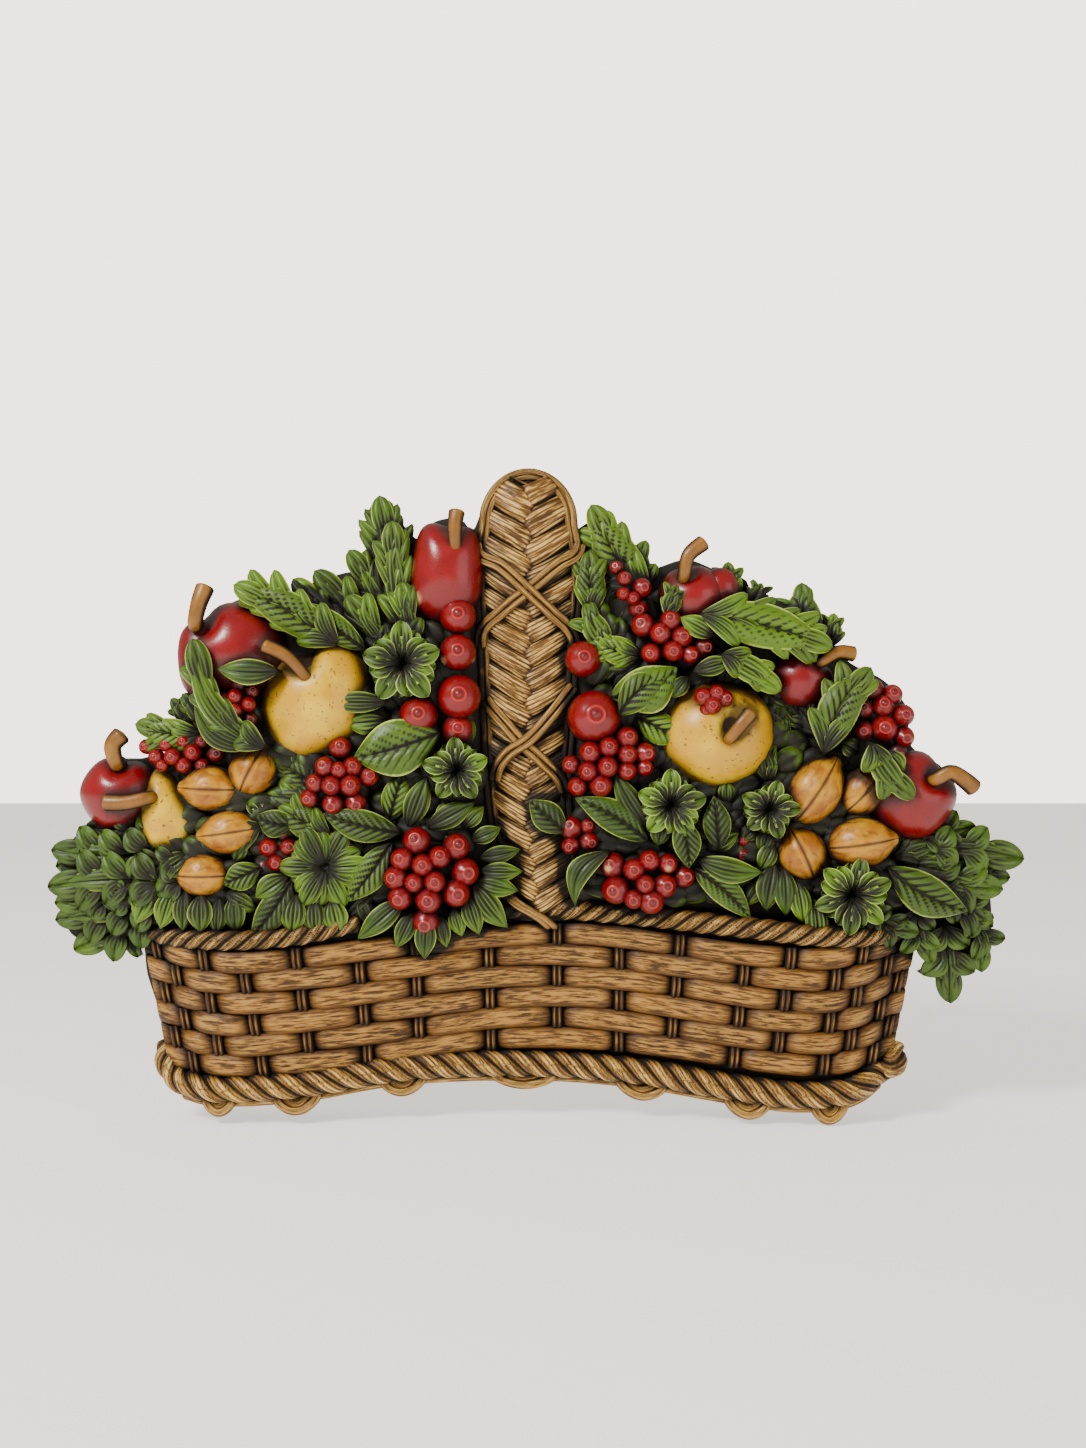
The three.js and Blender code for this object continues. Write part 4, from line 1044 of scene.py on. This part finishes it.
# %% [markdown]
# ## Stalks
# A short thick stalk stands in the dimple of most fruit, ridged along its length and thicker towards its
# free end. It is a tube like the ropes, rooted well inside the fruit so that no gap shows from the side.

# %% Stalks: tan, with a painted highlight on top and painted shade at the sides
STALK_ROOT = 9.0
STALKS = [
    ([[-39, 82, 34], [-39, 92, 36], [-38, 99, 35]], 3.0), ([[-158, 46, 38], [-156, 55, 39], [-153, 64, 37]], 3.4),
    ([[-197, -18, 27], [-198, -10, 29], [-193, -4, 29]], 3.6),
    ([[-180, -34, 34], [-190, -36, 36], [-201, -36, 35]], 3.2),
    ([[-107, 22, 42], [-114, 30, 45], [-126, 36, 46]], 2.7), ([[66, 68, 36], [68, 77, 38], [76, 84, 37]], 3.0),
    ([[130, 29, 33], [137, 33, 34], [146, 32, 33]], 2.9),
    ([[181, -25, 40], [187, -22, 42], [194, -26, 42], [199, -30, 40]], 3.2),
    ([[86, -6, 47], [90, -1, 50], [96, 6, 49]], 2.9)]


def stalk_mark(angle, distance):
    """A stalk is ridged and grows a little thicker with the distance; its top takes a painted highlight, and its
    sides painted shade.
    """
    top = np.clip(np.cos(angle), 0, 1)
    ridges = 0.5 + 0.5 * np.sin(angle * 4 + distance * 0.3)
    return 0.86 + 0.05 * ridges + 0.014 * distance, {
        "groove": np.clip(1.5 - 1.7 * top, 0, 1), "edge": top, "across": angle * 2, "along": distance}


for knots, radius in STALKS:
    rooted = [[knots[0][0], knots[0][1], knots[0][2] - STALK_ROOT], *knots]
    tube(piece("stalks"), rooted, radius, 0.7, 18, stalk_mark, ends=1.2, tone=0.6)
print("stalk points:", piece("stalks").count)

# %% [markdown]
# ## The ground behind the relief
# A moulding needs something solid behind its leaves. A plate lies flat on the wall, and a higher heap
# rises behind the fruit. Both are painted nearly black where they show between leaves. The back of
# the plate is bare resin, with a keyhole for one screw. A filled Blender curve makes such a slab well:
# it cuts the hole and rounds the edges by itself, and then becomes a mesh.

# %% Outlines of the ground
PLATE = np.array([
    (-197, -96), (-205, -104), (-222, -100), (-227, -80), (-224, -58), (-214, -47), (-205, -40), (-213, -30),
    (-205, -18), (-188, -16), (-172, -10), (-170, 4), (-160, 18), (-168, 36), (-150, 56), (-132, 60), (-122, 48),
    (-108, 62), (-98, 70), (-80, 76), (-82, 92), (-68, 97), (-58, 88), (-50, 96), (-36, 96), (-33, 92), (-26, 104),
    (-8, 111), (10, 106), (16, 92), (24, 96), (36, 88), (50, 74), (70, 78), (86, 72), (98, 68), (100, 52),
    (118, 52), (134, 44), (146, 30), (164, 20), (174, 8), (176, -10), (192, -22), (196, -36), (190, -46),
    (204, -54), (220, -66), (214, -80), (214, -92), (203, -110), (194, -126), (184, -112), (176, -98), (172, -108),
    (166, -140), (163, -158), (150, -172), (120, -176), (90, -173), (45, -168), (-18, -164), (-70, -166),
    (-110, -171), (-147, -173), (-166, -168), (-174, -152), (-186, -120), (-192, -98)], float)
HEAP = np.array([
    (-186, -94), (-205, -88), (-204, -64), (-196, -48), (-186, -28), (-168, -16), (-158, 10), (-156, 34),
    (-132, 48), (-112, 46), (-92, 48), (-76, 62), (-56, 74), (-30, 70), (8, 72), (30, 62), (48, 62), (70, 66),
    (88, 54), (110, 38), (132, 26), (150, 12), (166, -6), (180, -30), (182, -48), (196, -64), (196, -84),
    (176, -90), (150, -94), (110, -92), (60, -88), (10, -88), (-50, -92), (-110, -98), (-150, -100)], float)


def rounded(outline, step=3.0):
    """The closed outline as a soft line with a point about every `step` mm."""
    loop = np.concatenate([outline[-2:], outline, outline[:3]])
    reach = np.concatenate([[0], np.cumsum(np.linalg.norm(np.diff(loop, axis=0), axis=1))])
    at = np.arange(reach[2], reach[-3] - step / 2, step)
    return np.stack([smooth(np.stack([reach, loop[:, k]], axis=1))(at) for k in range(2)], axis=1)


SCREW_ENTRY = 6.5
SCREW_LOW, SCREW_HIGH = 56, 70


def keyhole(neck):
    """The outline of the screw's way: a round entry, and above it a channel `neck` mm wide."""
    start = math.asin(neck / 2 / SCREW_ENTRY)
    low = [(HANDLE_MIDDLE + SCREW_ENTRY * math.sin(a), SCREW_LOW - SCREW_ENTRY * math.cos(a))
           for a in np.linspace(start - math.pi, math.pi - start, 33)]
    top = [(HANDLE_MIDDLE + neck / 2 * math.cos(a), SCREW_HIGH + neck / 2 * math.sin(a))
           for a in np.linspace(0, math.pi, 13)]
    return np.array(low + top)


def slab(target, outlines, bottom, top, soft, **marks):
    """A flat slab between two lifts. The first outline is its edge, and any other is a hole in it."""
    flat = bpy.data.curves.new("slab", "CURVE")
    flat.dimensions, flat.fill_mode = "2D", "BOTH"
    flat.extrude = (top - bottom) / 2 - soft
    flat.bevel_depth, flat.bevel_resolution, flat.offset = soft, 2, -soft
    for outline in outlines:
        line = flat.splines.new("POLY")
        line.points.add(len(outline) - 1)
        line.points.foreach_set("co", np.c_[outline, np.zeros(len(outline)), np.ones(len(outline))].ravel())
        line.use_cyclic_u = True
    holder = bpy.data.objects.new("slab", flat)
    mesh = bpy.data.meshes.new_from_object(holder)
    mesh.calc_loop_triangles()
    points = np.empty(len(mesh.vertices) * 3)
    mesh.vertices.foreach_get("co", points)
    faces = np.empty(len(mesh.loop_triangles) * 3, int)
    mesh.loop_triangles.foreach_get("vertices", faces)
    points, faces = points.reshape(-1, 3), faces.reshape(-1, 3)
    placed = np.stack([points[:, 0], -(points[:, 2] + (top + bottom) / 2), points[:, 1]], axis=1)
    bare = np.clip((1.0 + placed[:, 1]) / 0.5, 0, 1)
    target.add(placed, faces, {"across": placed[:, 0] / 3, "along": placed[:, 2] / 3, "spot": bare, **marks})
    bpy.data.objects.remove(holder)
    bpy.data.curves.remove(flat)
    bpy.data.meshes.remove(mesh)


NECK_WIDTH, HEAD_WIDTH = 5.6, 12.9
BACK = piece("plaque_back")
slab(BACK, [rounded(PLATE), keyhole(NECK_WIDTH)], 0, 4, 0.4, groove=0.9, tone=0.5)
slab(BACK, [rounded(PLATE), keyhole(HEAD_WIDTH)], 3.4, 12, 0.6, groove=1.0, tone=0.5)
slab(BACK, [rounded(HEAP)], 11.0, 21, 3.0, groove=1.0, tone=0.3)
print("ground points:", BACK.count)

# %% [markdown]
# ## From forms to meshes
# Each piece becomes one mesh. Its marks become attributes of the points, under the same names, so
# that a paint can read them wherever the surface goes. A picture laid over the surface would need
# unwrapping, and marks on the points need none.

# %% Meshes
PAINTS = {
    "basket_weave": "basket_paint", "basket_ropes": "basket_paint", "basket_handle": "basket_paint",
    "leaves_left": "leaf_paint", "leaves_right": "leaf_paint", "leaves_under": "leaf_paint",
    "fronds_left": "leaf_paint", "fronds_right": "leaf_paint", "sprays": "leaf_paint", "red_fruit": "red_fruit_paint",
    "berries": "red_fruit_paint", "yellow_fruit": "yellow_fruit_paint", "walnuts": "nut_paint",
    "stalks": "nut_paint", "plaque_back": "basket_paint"}


def mesh_of(piece):
    points, faces, marks = piece.gathered()
    mesh = bpy.data.meshes.new(piece.name)
    mesh.from_pydata(points * MM, [], faces)
    for mark, values in marks.items():
        mesh.attributes.new(mark, "FLOAT", "POINT").data.foreach_set("value", values)
    mesh.shade_smooth()
    made = bpy.data.objects.new(piece.name, mesh)
    bpy.context.scene.collection.objects.link(made)
    return made


made = {name: mesh_of(pieces[name]) for name in PAINTS}
for name, one in made.items():
    print(name, len(one.data.polygons), "triangles")
print("all:", sum(len(one.data.polygons) for one in made.values()))

# %% [markdown]
# ## The antique wash and painted shade
# Thin brown paint was brushed over the whole plaque and wiped off, so it stays wherever a surface lies
# deeper than what is round it. A map of the front, one cell to a millimetre, is blurred; how far a
# point lies below the blurred map is its "sink". The paints use sink partly as that wash and partly as
# painted shade, nearly black in the deepest gaps, and use "turned", how much a point faces the wall, as
# painted shade. Paint worn off to the resin is kept as a few chips.

# %% How deep each point lies among its neighbours
CELL = 1.0
MAP_LOW = np.array([-250.0, -205.0])
MAP_SIZE = (500, 350)
CHIPS = [(-60, 74, 1.6), (-57, 58, 1.9), (-45, 29, 1.3), (-29, 29, 1.3), (31, -66, 1.3), (58.4, -66, 1.2)]


def cell_of(points):
    at = ((points[:, [0, 2]] - MAP_LOW) / CELL).astype(int)
    return np.clip(at[:, 0], 0, MAP_SIZE[0] - 1), np.clip(at[:, 1], 0, MAP_SIZE[1] - 1)


def blurred(field, width):
    """The field smoothed by a bell curve of that width, in millimetres."""
    waves = [np.fft.fftfreq(n, CELL) for n in MAP_SIZE]
    bell = np.exp(-2 * (math.pi * width) ** 2 * (waves[0][:, None] ** 2 + waves[1][None, :] ** 2))
    return np.real(np.fft.ifft2(np.fft.fft2(field) * bell))


front_map = np.zeros(MAP_SIZE)
for one in pieces.values():
    points = one.gathered()[0]
    np.maximum.at(front_map, cell_of(points), -points[:, 1])
for axis in (0, 1):
    front_map = np.maximum(front_map, np.maximum(np.roll(front_map, 1, axis), np.roll(front_map, -1, axis)))
near_map, wide_map = blurred(front_map, 2.2), blurred(front_map, 6.0)


def wash_shade_and_chip_marks(points, normals):
    """Sink, how much a point faces the wall side, and chips, for one mesh's points in millimetres."""
    at = cell_of(points)
    lift = -points[:, 1]
    near = np.clip((near_map[at] - lift - 0.8) / 3.5, 0, 1)
    wide = np.clip((wide_map[at] - lift - 1.0) / 7, 0, 1)
    sink = near + 0.6 * wide
    chip = np.zeros(len(points))
    for x, z, radius in CHIPS:
        away = np.hypot(points[:, 0] - x, points[:, 2] - z) / radius
        chip = np.maximum(chip, np.clip(1.6 - away, 0, 1))
    # turned darkens faces turned to the wall, as painted shade under and behind things; sink serves partly as the
    # wash and partly as painted shade.
    return {"sink": np.clip(sink, 0, 1), "chip": chip, "turned": np.clip(1 + 1.1 * normals[:, 1], 0, 1)}


for name, one in made.items():
    count = len(one.data.vertices)
    points, normals = np.empty(count * 3), np.empty(count * 3)
    one.data.vertices.foreach_get("co", points)
    one.data.vertices.foreach_get("normal", normals)
    for mark, values in wash_shade_and_chip_marks(points.reshape(-1, 3) / MM, normals.reshape(-1, 3)).items():
        one.data.attributes.new(mark, "FLOAT", "POINT").data.foreach_set("value", values)
print("front map reaches", round(front_map.max(), 1), "mm")

# %% [markdown]
# ## Writing a paint as sums
# A paint is worked out by nodes. A small class wraps a number on the surface, so that +, - and *
# between numbers add the Math nodes. Any other node comes from one method of the paint. The nodes could
# be dragged together by hand, but a sum on one line is easier to read and to change.

# %% Numbers on the surface
class Number:
    """A number that varies over the surface: one output socket of a paint's nodes."""

    def __init__(self, paint, socket):
        self.paint, self.socket = paint, socket

    def math(self, operation, *values, clamp=False):
        return self.paint.node("ShaderNodeMath", {"operation": operation, "use_clamp": clamp}, values)

    def __add__(self, other):
        return self.math("ADD", self, other)

    def __radd__(self, other):
        return self.math("ADD", other, self)

    def __sub__(self, other):
        return self.math("SUBTRACT", self, other)

    def __rsub__(self, other):
        return self.math("SUBTRACT", other, self)

    def __mul__(self, other):
        return self.math("MULTIPLY", self, other)

    def __rmul__(self, other):
        return self.math("MULTIPLY", other, self)

    def held(self):
        """The number kept between 0 and 1."""
        return self.math("ADD", self, 0.0, clamp=True)

    def between(self, low, high):
        """0 up to low, 1 from high, and a soft step between."""
        return self.paint.node("ShaderNodeMapRange", {"interpolation_type": "SMOOTHSTEP"},
                               {"Value": self, "From Min": low, "From Max": high})


def tint(red, green, blue):
    """A paint-chart colour, 0 to 255, as the linear light that Blender mixes."""
    parts = [c / 255 for c in (red, green, blue)]
    return (*[c / 12.92 if c < 0.04045 else ((c + 0.055) / 1.055) ** 2.4 for c in parts], 1.0)


print("a mid brown as light:", [round(part, 3) for part in tint(119, 77, 18)])

# %% Paints
class Paint:
    """A painted finish: the nodes of one material, and short ways to add to them."""

    def __init__(self, name, **constants):
        self.material = bpy.data.materials.new(name)
        self.material.use_nodes = True
        self.tree = self.material.node_tree
        self.shader = self.tree.nodes["Principled BSDF"]
        for socket, value in constants.items():
            self.shader.inputs[socket.replace("_", " ")].default_value = value

    def node(self, kind, settings, values, output=0):
        """Adds a node, sets it up, then fills or links its inputs; gives its output."""
        added = self.tree.nodes.new(kind)
        for setting, value in settings.items():
            setattr(added, setting, value)
        inputs = values.items() if isinstance(values, dict) else enumerate(values)
        for socket, value in inputs:
            if isinstance(value, Number):
                self.tree.links.new(value.socket, added.inputs[socket])
            else:
                added.inputs[socket].default_value = value
        return Number(self, added.outputs[output])

    def mark(self, name):
        return self.node("ShaderNodeAttribute", {"attribute_name": name}, (), output="Fac")

    def marks(self, *names):
        return [self.mark(name) for name in names]

    def place(self, x, y, z):
        return self.node("ShaderNodeCombineXYZ", {}, (x, y, z))

    def noise(self, scale, detail=3.0, rough=0.55, at=None):
        """Cloudy noise about 0.5, in waves of 1/scale metres, or over a given place."""
        at = at or self.node("ShaderNodeTexCoord", {}, (), output="Object")
        return self.node("ShaderNodeTexNoise", {},
                         {"Vector": at, "Scale": scale, "Detail": detail, "Roughness": rough})

    def mix(self, share, first, second, how="MIX"):
        """The first colour, with a share of the second over it."""
        return self.node("ShaderNodeMix", {"data_type": "RGBA", "blend_type": how},
                         {0: share, 6: first, 7: second}, output=2)

    def coat(self, colour, rough, height=None, depth=0.0):
        """Lays the colour, the roughness and a fine surface on the shader."""
        self.tree.links.new(colour.socket, self.shader.inputs["Base Color"])
        self.tree.links.new(rough.socket, self.shader.inputs["Roughness"])
        if height:
            bump = self.node("ShaderNodeBump", {}, {"Distance": depth, "Strength": 1.0, "Height": height})
            self.tree.links.new(bump.socket, self.shader.inputs["Normal"])


print("one millimetre is", MM, "m in a paint's Object place")

# %% [markdown]
# ## Basket, ropes and handle
# Ochre brown is streaked along each strand. The tops get a painted highlight in light straw colour, and
# dark brown lies in the grooves and where one strand goes behind another, partly as wash and partly as
# painted shade.

# %% Straw paints
def straw_paint(name, base, light, shine_colour, dark, streak, dashes):
    paint = Paint(name, Specular_IOR_Level=0.28)
    across, along, tone = paint.marks("across", "along", "tone")
    groove, edge, sink = paint.marks("groove", "edge", "sink")
    lines = paint.noise(1.0, 4, 0.65, at=paint.place(across * streak, along * 0.10, tone * 7))
    cloud = paint.noise(90, 2)
    colour = paint.mix((tone * 0.4 + cloud * 1.2 - 0.4).held(), base, light)
    # A painted highlight in light straw colour on the tops of strands.
    colour = paint.mix((edge.between(0.25, 0.95) * lines.between(0.42, 0.60)).held() * 0.8, colour, shine_colour)
    colour = paint.mix(lines.between(0.50, 0.38) * dashes, colour, dark)
    # The wash in the grooves, with painted shade from sink and from faces turned to the wall; spot darkens the rim
    # rope's own paint.
    wash_and_shade = groove.between(0.2, 0.95) * 0.9 + sink * 1.0 + paint.mark("turned") * 0.45 + paint.mark("spot") * 0.6
    wash_and_shade = (wash_and_shade - 0.1).held()
    colour = paint.mix(wash_and_shade, colour, dark)
    # Painted shadow, nearly black, in the deepest gaps.
    colour = paint.mix(sink.between(0.5, 1.0) * 0.65, colour, tint(16, 9, 4))
    paint.coat(colour, 0.44 + (wash_and_shade - lines * 0.4) * 0.3, lines, 0.0005)
    return paint.material


STRAW_DARK = tint(26, 14, 4)
WEAVE_TINTS = tint(72, 42, 7), tint(119, 77, 18), tint(186, 136, 64)
ROPE_TINTS = tint(114, 72, 15), tint(180, 128, 40), tint(246, 206, 122)
PLAIT_TINTS = tint(84, 51, 11), tint(142, 97, 32), tint(236, 192, 110)
LOOKS = {
    "basket_weave": straw_paint("woven cane", *WEAVE_TINTS, STRAW_DARK, 1.8, 0.55),
    "basket_ropes": straw_paint("twisted rope", *ROPE_TINTS, STRAW_DARK, 1.3, 0.75),
    "basket_handle": straw_paint("plaited handle", *PLAIT_TINTS, STRAW_DARK, 1.8, 0.45)}
print("straw paints:", len(LOOKS))

# %% [markdown]
# ## Leaves
# Mid green goes bright towards the middle of each half and yellow-green along the rolled edge, both as
# painted highlight. Veins are left nearly black by the wash, and gaps by painted shade.

# %% Leaf green
def leaf_paint(name):
    paint = Paint(name, Specular_IOR_Level=0.35)
    groove, edge, sink, tone = paint.marks("groove", "edge", "sink", "tone")
    cloud = paint.noise(110, 3)
    fine = paint.noise(900, 3)
    colour = paint.mix((tone * 0.7 + cloud * 0.7 - 0.25).held(), tint(42, 64, 6), tint(106, 140, 22))
    # A painted highlight in yellow-green on the rims and on the swell of each half.
    colour = paint.mix(edge.between(0.35, 0.9) * (0.5 + fine * 0.9), colour, tint(196, 216, 100))
    # The wash in the veins, with painted shade from sink, from the skirts and bases, and from faces turned to the
    # wall.
    wash_and_shade = (groove.between(0.1, 0.65) * 1.0 + sink * 0.75 + paint.mark("turned") * 0.45 - 0.1 - fine * 0.1).held()
    colour = paint.mix(wash_and_shade, colour, tint(25, 23, 6))
    # Painted shadow, nearly black, in the deepest gaps.
    colour = paint.mix(sink.between(0.5, 1.0) * 0.75, colour, tint(10, 8, 3))
    paint.coat(colour, 0.34 + wash_and_shade * 0.25 + fine * 0.08, fine, 0.00012)
    return paint.material


LEAF_GREEN = leaf_paint("leaf green")
LOOKS.update({name: LEAF_GREEN for name, slot in PAINTS.items() if slot == "leaf_paint"})
print("pieces in leaf green:", list(LOOKS.values()).count(LEAF_GREEN))

# %% [markdown]
# ## Fruit, nuts and stalks
# Red fruit is glossy, with a painted highlight on its front, and goes maroon towards its rim as painted
# shade and into the hollows; every berry has a light ring round a dark eye, the ring a painted highlight.
# Yellow fruit has painted brown shade at its rim, and is specked. Nuts are tan with painted highlights on
# their ridges, and stalks have a painted highlight on top only.

# %% Red
def red_paint(name, base, light, deep):
    paint = Paint(name, Specular_IOR_Level=0.4, Coat_Weight=0.2, Coat_Roughness=0.15)
    groove, edge, sink, spot = paint.marks("groove", "edge", "sink", "spot")
    cloud, fine = paint.noise(70, 4), paint.noise(1300, 3)
    # A painted highlight on the front of the fruit, broken up by cloud.
    colour = paint.mix((cloud.between(0.42, 0.7) * 0.6 * edge).held(), base, light)
    # Painted shade: maroon towards the rim, where the fruit turns from the room.
    colour = paint.mix((1 - edge.between(-0.1, 0.75)) * 0.7, colour, deep)
    colour = paint.mix(fine.between(0.62, 0.75) * 0.35, colour, deep)
    # The wash in the hollows, with painted shade from sink and from the far side.
    wash_and_shade = (groove.between(0.2, 0.9) * 0.9 + sink * 0.8 - 0.05).held()
    colour = paint.mix(wash_and_shade, colour, tint(26, 3, 3))
    # A painted highlight on each eyed ball's raised ring.
    colour = paint.mix(spot.between(0.5, 1.0) * 0.45, colour, tint(210, 70, 58))
    colour = paint.mix(paint.mark("chip").held(), colour, tint(196, 150, 104))
    paint.coat(colour, 0.24 + wash_and_shade * 0.3 + fine * 0.08, fine, 0.00008)
    return paint.material


LOOKS["red_fruit"] = red_paint("apple red", tint(120, 3, 7), tint(146, 9, 11), tint(44, 2, 4))
LOOKS["berries"] = red_paint("berry red", tint(116, 2, 6), tint(146, 10, 12), tint(34, 1, 3))
print("red paints:", LOOKS["red_fruit"].name, "and", LOOKS["berries"].name)

# %% Yellow
def yellow_paint(name):
    paint = Paint(name, Specular_IOR_Level=0.35, Coat_Weight=0.12, Coat_Roughness=0.2)
    groove, edge, sink = paint.marks("groove", "edge", "sink")
    cloud, specks, fine = paint.noise(60, 4), paint.noise(520, 2), paint.noise(1500, 3)
    colour = paint.mix(cloud.between(0.35, 0.7), tint(204, 150, 6), tint(228, 184, 20))
    # Painted shade: brown towards the rim, where the fruit turns from the room.
    colour = paint.mix((1 - edge.between(-0.1, 0.75)) * 0.7, colour, tint(116, 62, 8))
    colour = paint.mix(specks.between(0.63, 0.69) * 0.85, colour, tint(96, 62, 28))
    colour = paint.mix(fine.between(0.6, 0.75) * 0.3, colour, tint(130, 76, 14))
    # The wash in the hollows, with painted shade from sink and from the far side.
    wash_and_shade = (groove.between(0.2, 0.9) * 0.9 + sink * 0.9 - 0.05).held()
    colour = paint.mix(wash_and_shade, colour, tint(40, 20, 5))
    paint.coat(colour, 0.30 + wash_and_shade * 0.3 + fine * 0.1, fine, 0.0001)
    return paint.material


LOOKS["yellow_fruit"] = yellow_paint("quince yellow")
print("nodes in the yellow:", len(LOOKS["yellow_fruit"].node_tree.nodes))

# %% Nuts and stalks
def brown_paint(name, base, light, dark):
    paint = Paint(name, Specular_IOR_Level=0.35, Coat_Weight=0.1, Coat_Roughness=0.25)
    groove, edge, sink = paint.marks("groove", "edge", "sink")
    cloud, fine = paint.noise(120, 3), paint.noise(1100, 3)
    colour = paint.mix(cloud.between(0.35, 0.7), base, light)
    # A painted highlight on ridges and on the parts that face the room.
    colour = paint.mix(edge.between(0.3, 1.0) * 0.5, colour, light)
    colour = paint.mix(fine.between(0.6, 0.75) * 0.3, colour, dark)
    # The wash in the wrinkles and grooves, with painted shade from sink, the far sides and faces turned to the wall.
    wash_and_shade = (groove.between(0.15, 0.85) * 0.85 + sink * 0.9 + paint.mark("turned") * 0.3 - 0.05).held()
    colour = paint.mix(wash_and_shade, colour, dark)
    paint.coat(colour, 0.32 + wash_and_shade * 0.3 + fine * 0.08, fine, 0.00012)
    return paint.material


LOOKS["walnuts"] = brown_paint("walnut tan", tint(150, 88, 7), tint(196, 138, 22), tint(40, 18, 4))
LOOKS["stalks"] = brown_paint("stalk brown", tint(86, 50, 10), tint(148, 98, 28), tint(16, 8, 3))
print("brown paints:", LOOKS["walnuts"].name, "and", LOOKS["stalks"].name)

# %% [markdown]
# ## The ground's paint, and where each piece belongs
# In front the ground is nearly black, and behind, where no brush went, the bare resin shows. One paint
# does both, and changes over by a mark on the points. Then every piece is given its paint and the body
# that it rides on.

# %% The ground: dark paint in front, bare resin behind
def ground_paint(name):
    paint = Paint(name, Specular_IOR_Level=0.4)
    cloud, fine = paint.noise(150, 3), paint.noise(1400, 3)
    dark = paint.mix(cloud, tint(14, 11, 5), tint(34, 28, 12))
    bare = paint.mix(cloud.between(0.3, 0.7), tint(128, 88, 50), tint(146, 104, 62))
    colour = paint.mix(paint.mark("spot"), dark, bare)
    paint.coat(colour, 0.55 + fine * 0.15, fine, 0.0001)
    return paint.material


LOOKS["plaque_back"] = ground_paint("ground and bare resin")
print("paints ready:", len(LOOKS))

# %% Every piece gets its paint and its place in the frame
for name, slot in PAINTS.items():
    made[name].data.materials.append(LOOKS[name])
    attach(made[name], "root")
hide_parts("plaque")
print("paints:", len(set(LOOKS.values())))

# %% [markdown]
# ## Floor and light
# The plaque stands on a plain pale floor. A broad soft light comes from the upper left, as from a
# window, with a weaker one from the right. The sky looks brighter to the camera than it is as light, so
# that the room reads pale without washing out the relief.

# %% Floor, sky and lamps
FLOOR = 3.0
FLOOR_GAP = 0.4 * MM
SKY_LIGHT, SKY_SEEN, FLOOR_GLOW = 0.58, 3.8, 1.0
PALE = tint(238, 235, 229)
low = min(one.data.vertices[i].co.z for one in made.values() for i in range(0, len(one.data.vertices), 7))
ground_height = low - FLOOR_GAP
floor_sides = ((-1, -1), (1, -1), (1, 1), (-1, 1))
floor_corners = [(FLOOR * x, FLOOR * y, ground_height) for x, y in floor_sides]
floor_mesh = bpy.data.meshes.new("floor")
floor_mesh.from_pydata(floor_corners, [], [(0, 1, 2, 3)])
floor = bpy.data.objects.new("floor", floor_mesh)
floor_paint = Paint("pale floor", Base_Color=PALE, Emission_Color=PALE, Roughness=0.8, Emission_Strength=FLOOR_GLOW)
floor.data.materials.append(floor_paint.material)
bpy.context.scene.collection.objects.link(floor)

world = bpy.data.worlds.new("studio")
world.use_nodes = True
sky = world.node_tree.nodes["Background"]
sky.inputs["Color"].default_value = tint(246, 241, 230)
seen = world.node_tree.nodes.new("ShaderNodeLightPath")
strength = world.node_tree.nodes.new("ShaderNodeMapRange")
strength.inputs["To Min"].default_value, strength.inputs["To Max"].default_value = SKY_LIGHT, SKY_SEEN
world.node_tree.links.new(seen.outputs["Is Camera Ray"], strength.inputs["Value"])
world.node_tree.links.new(strength.outputs["Result"], sky.inputs["Strength"])
bpy.context.scene.world = world

# where each lamp stands, how wide it is, and its power
LAMPS = {"window": ((-0.9, -1.1, 1.0), 0.4, 34), "room": ((1.2, -1.1, 0.2), 1.0, 6)}
for name, (place, size, power) in LAMPS.items():
    lamp = bpy.data.lights.new(name, "AREA")
    lamp.size, lamp.energy = size, power
    holder = bpy.data.objects.new(name, lamp)
    holder.location = place
    holder.rotation_euler = (-Vector(place)).to_track_quat("-Z", "Y").to_euler()
    bpy.context.scene.collection.objects.link(holder)
print("floor at", round(ground_height, 4), "m; lamps:", ", ".join(LAMPS))
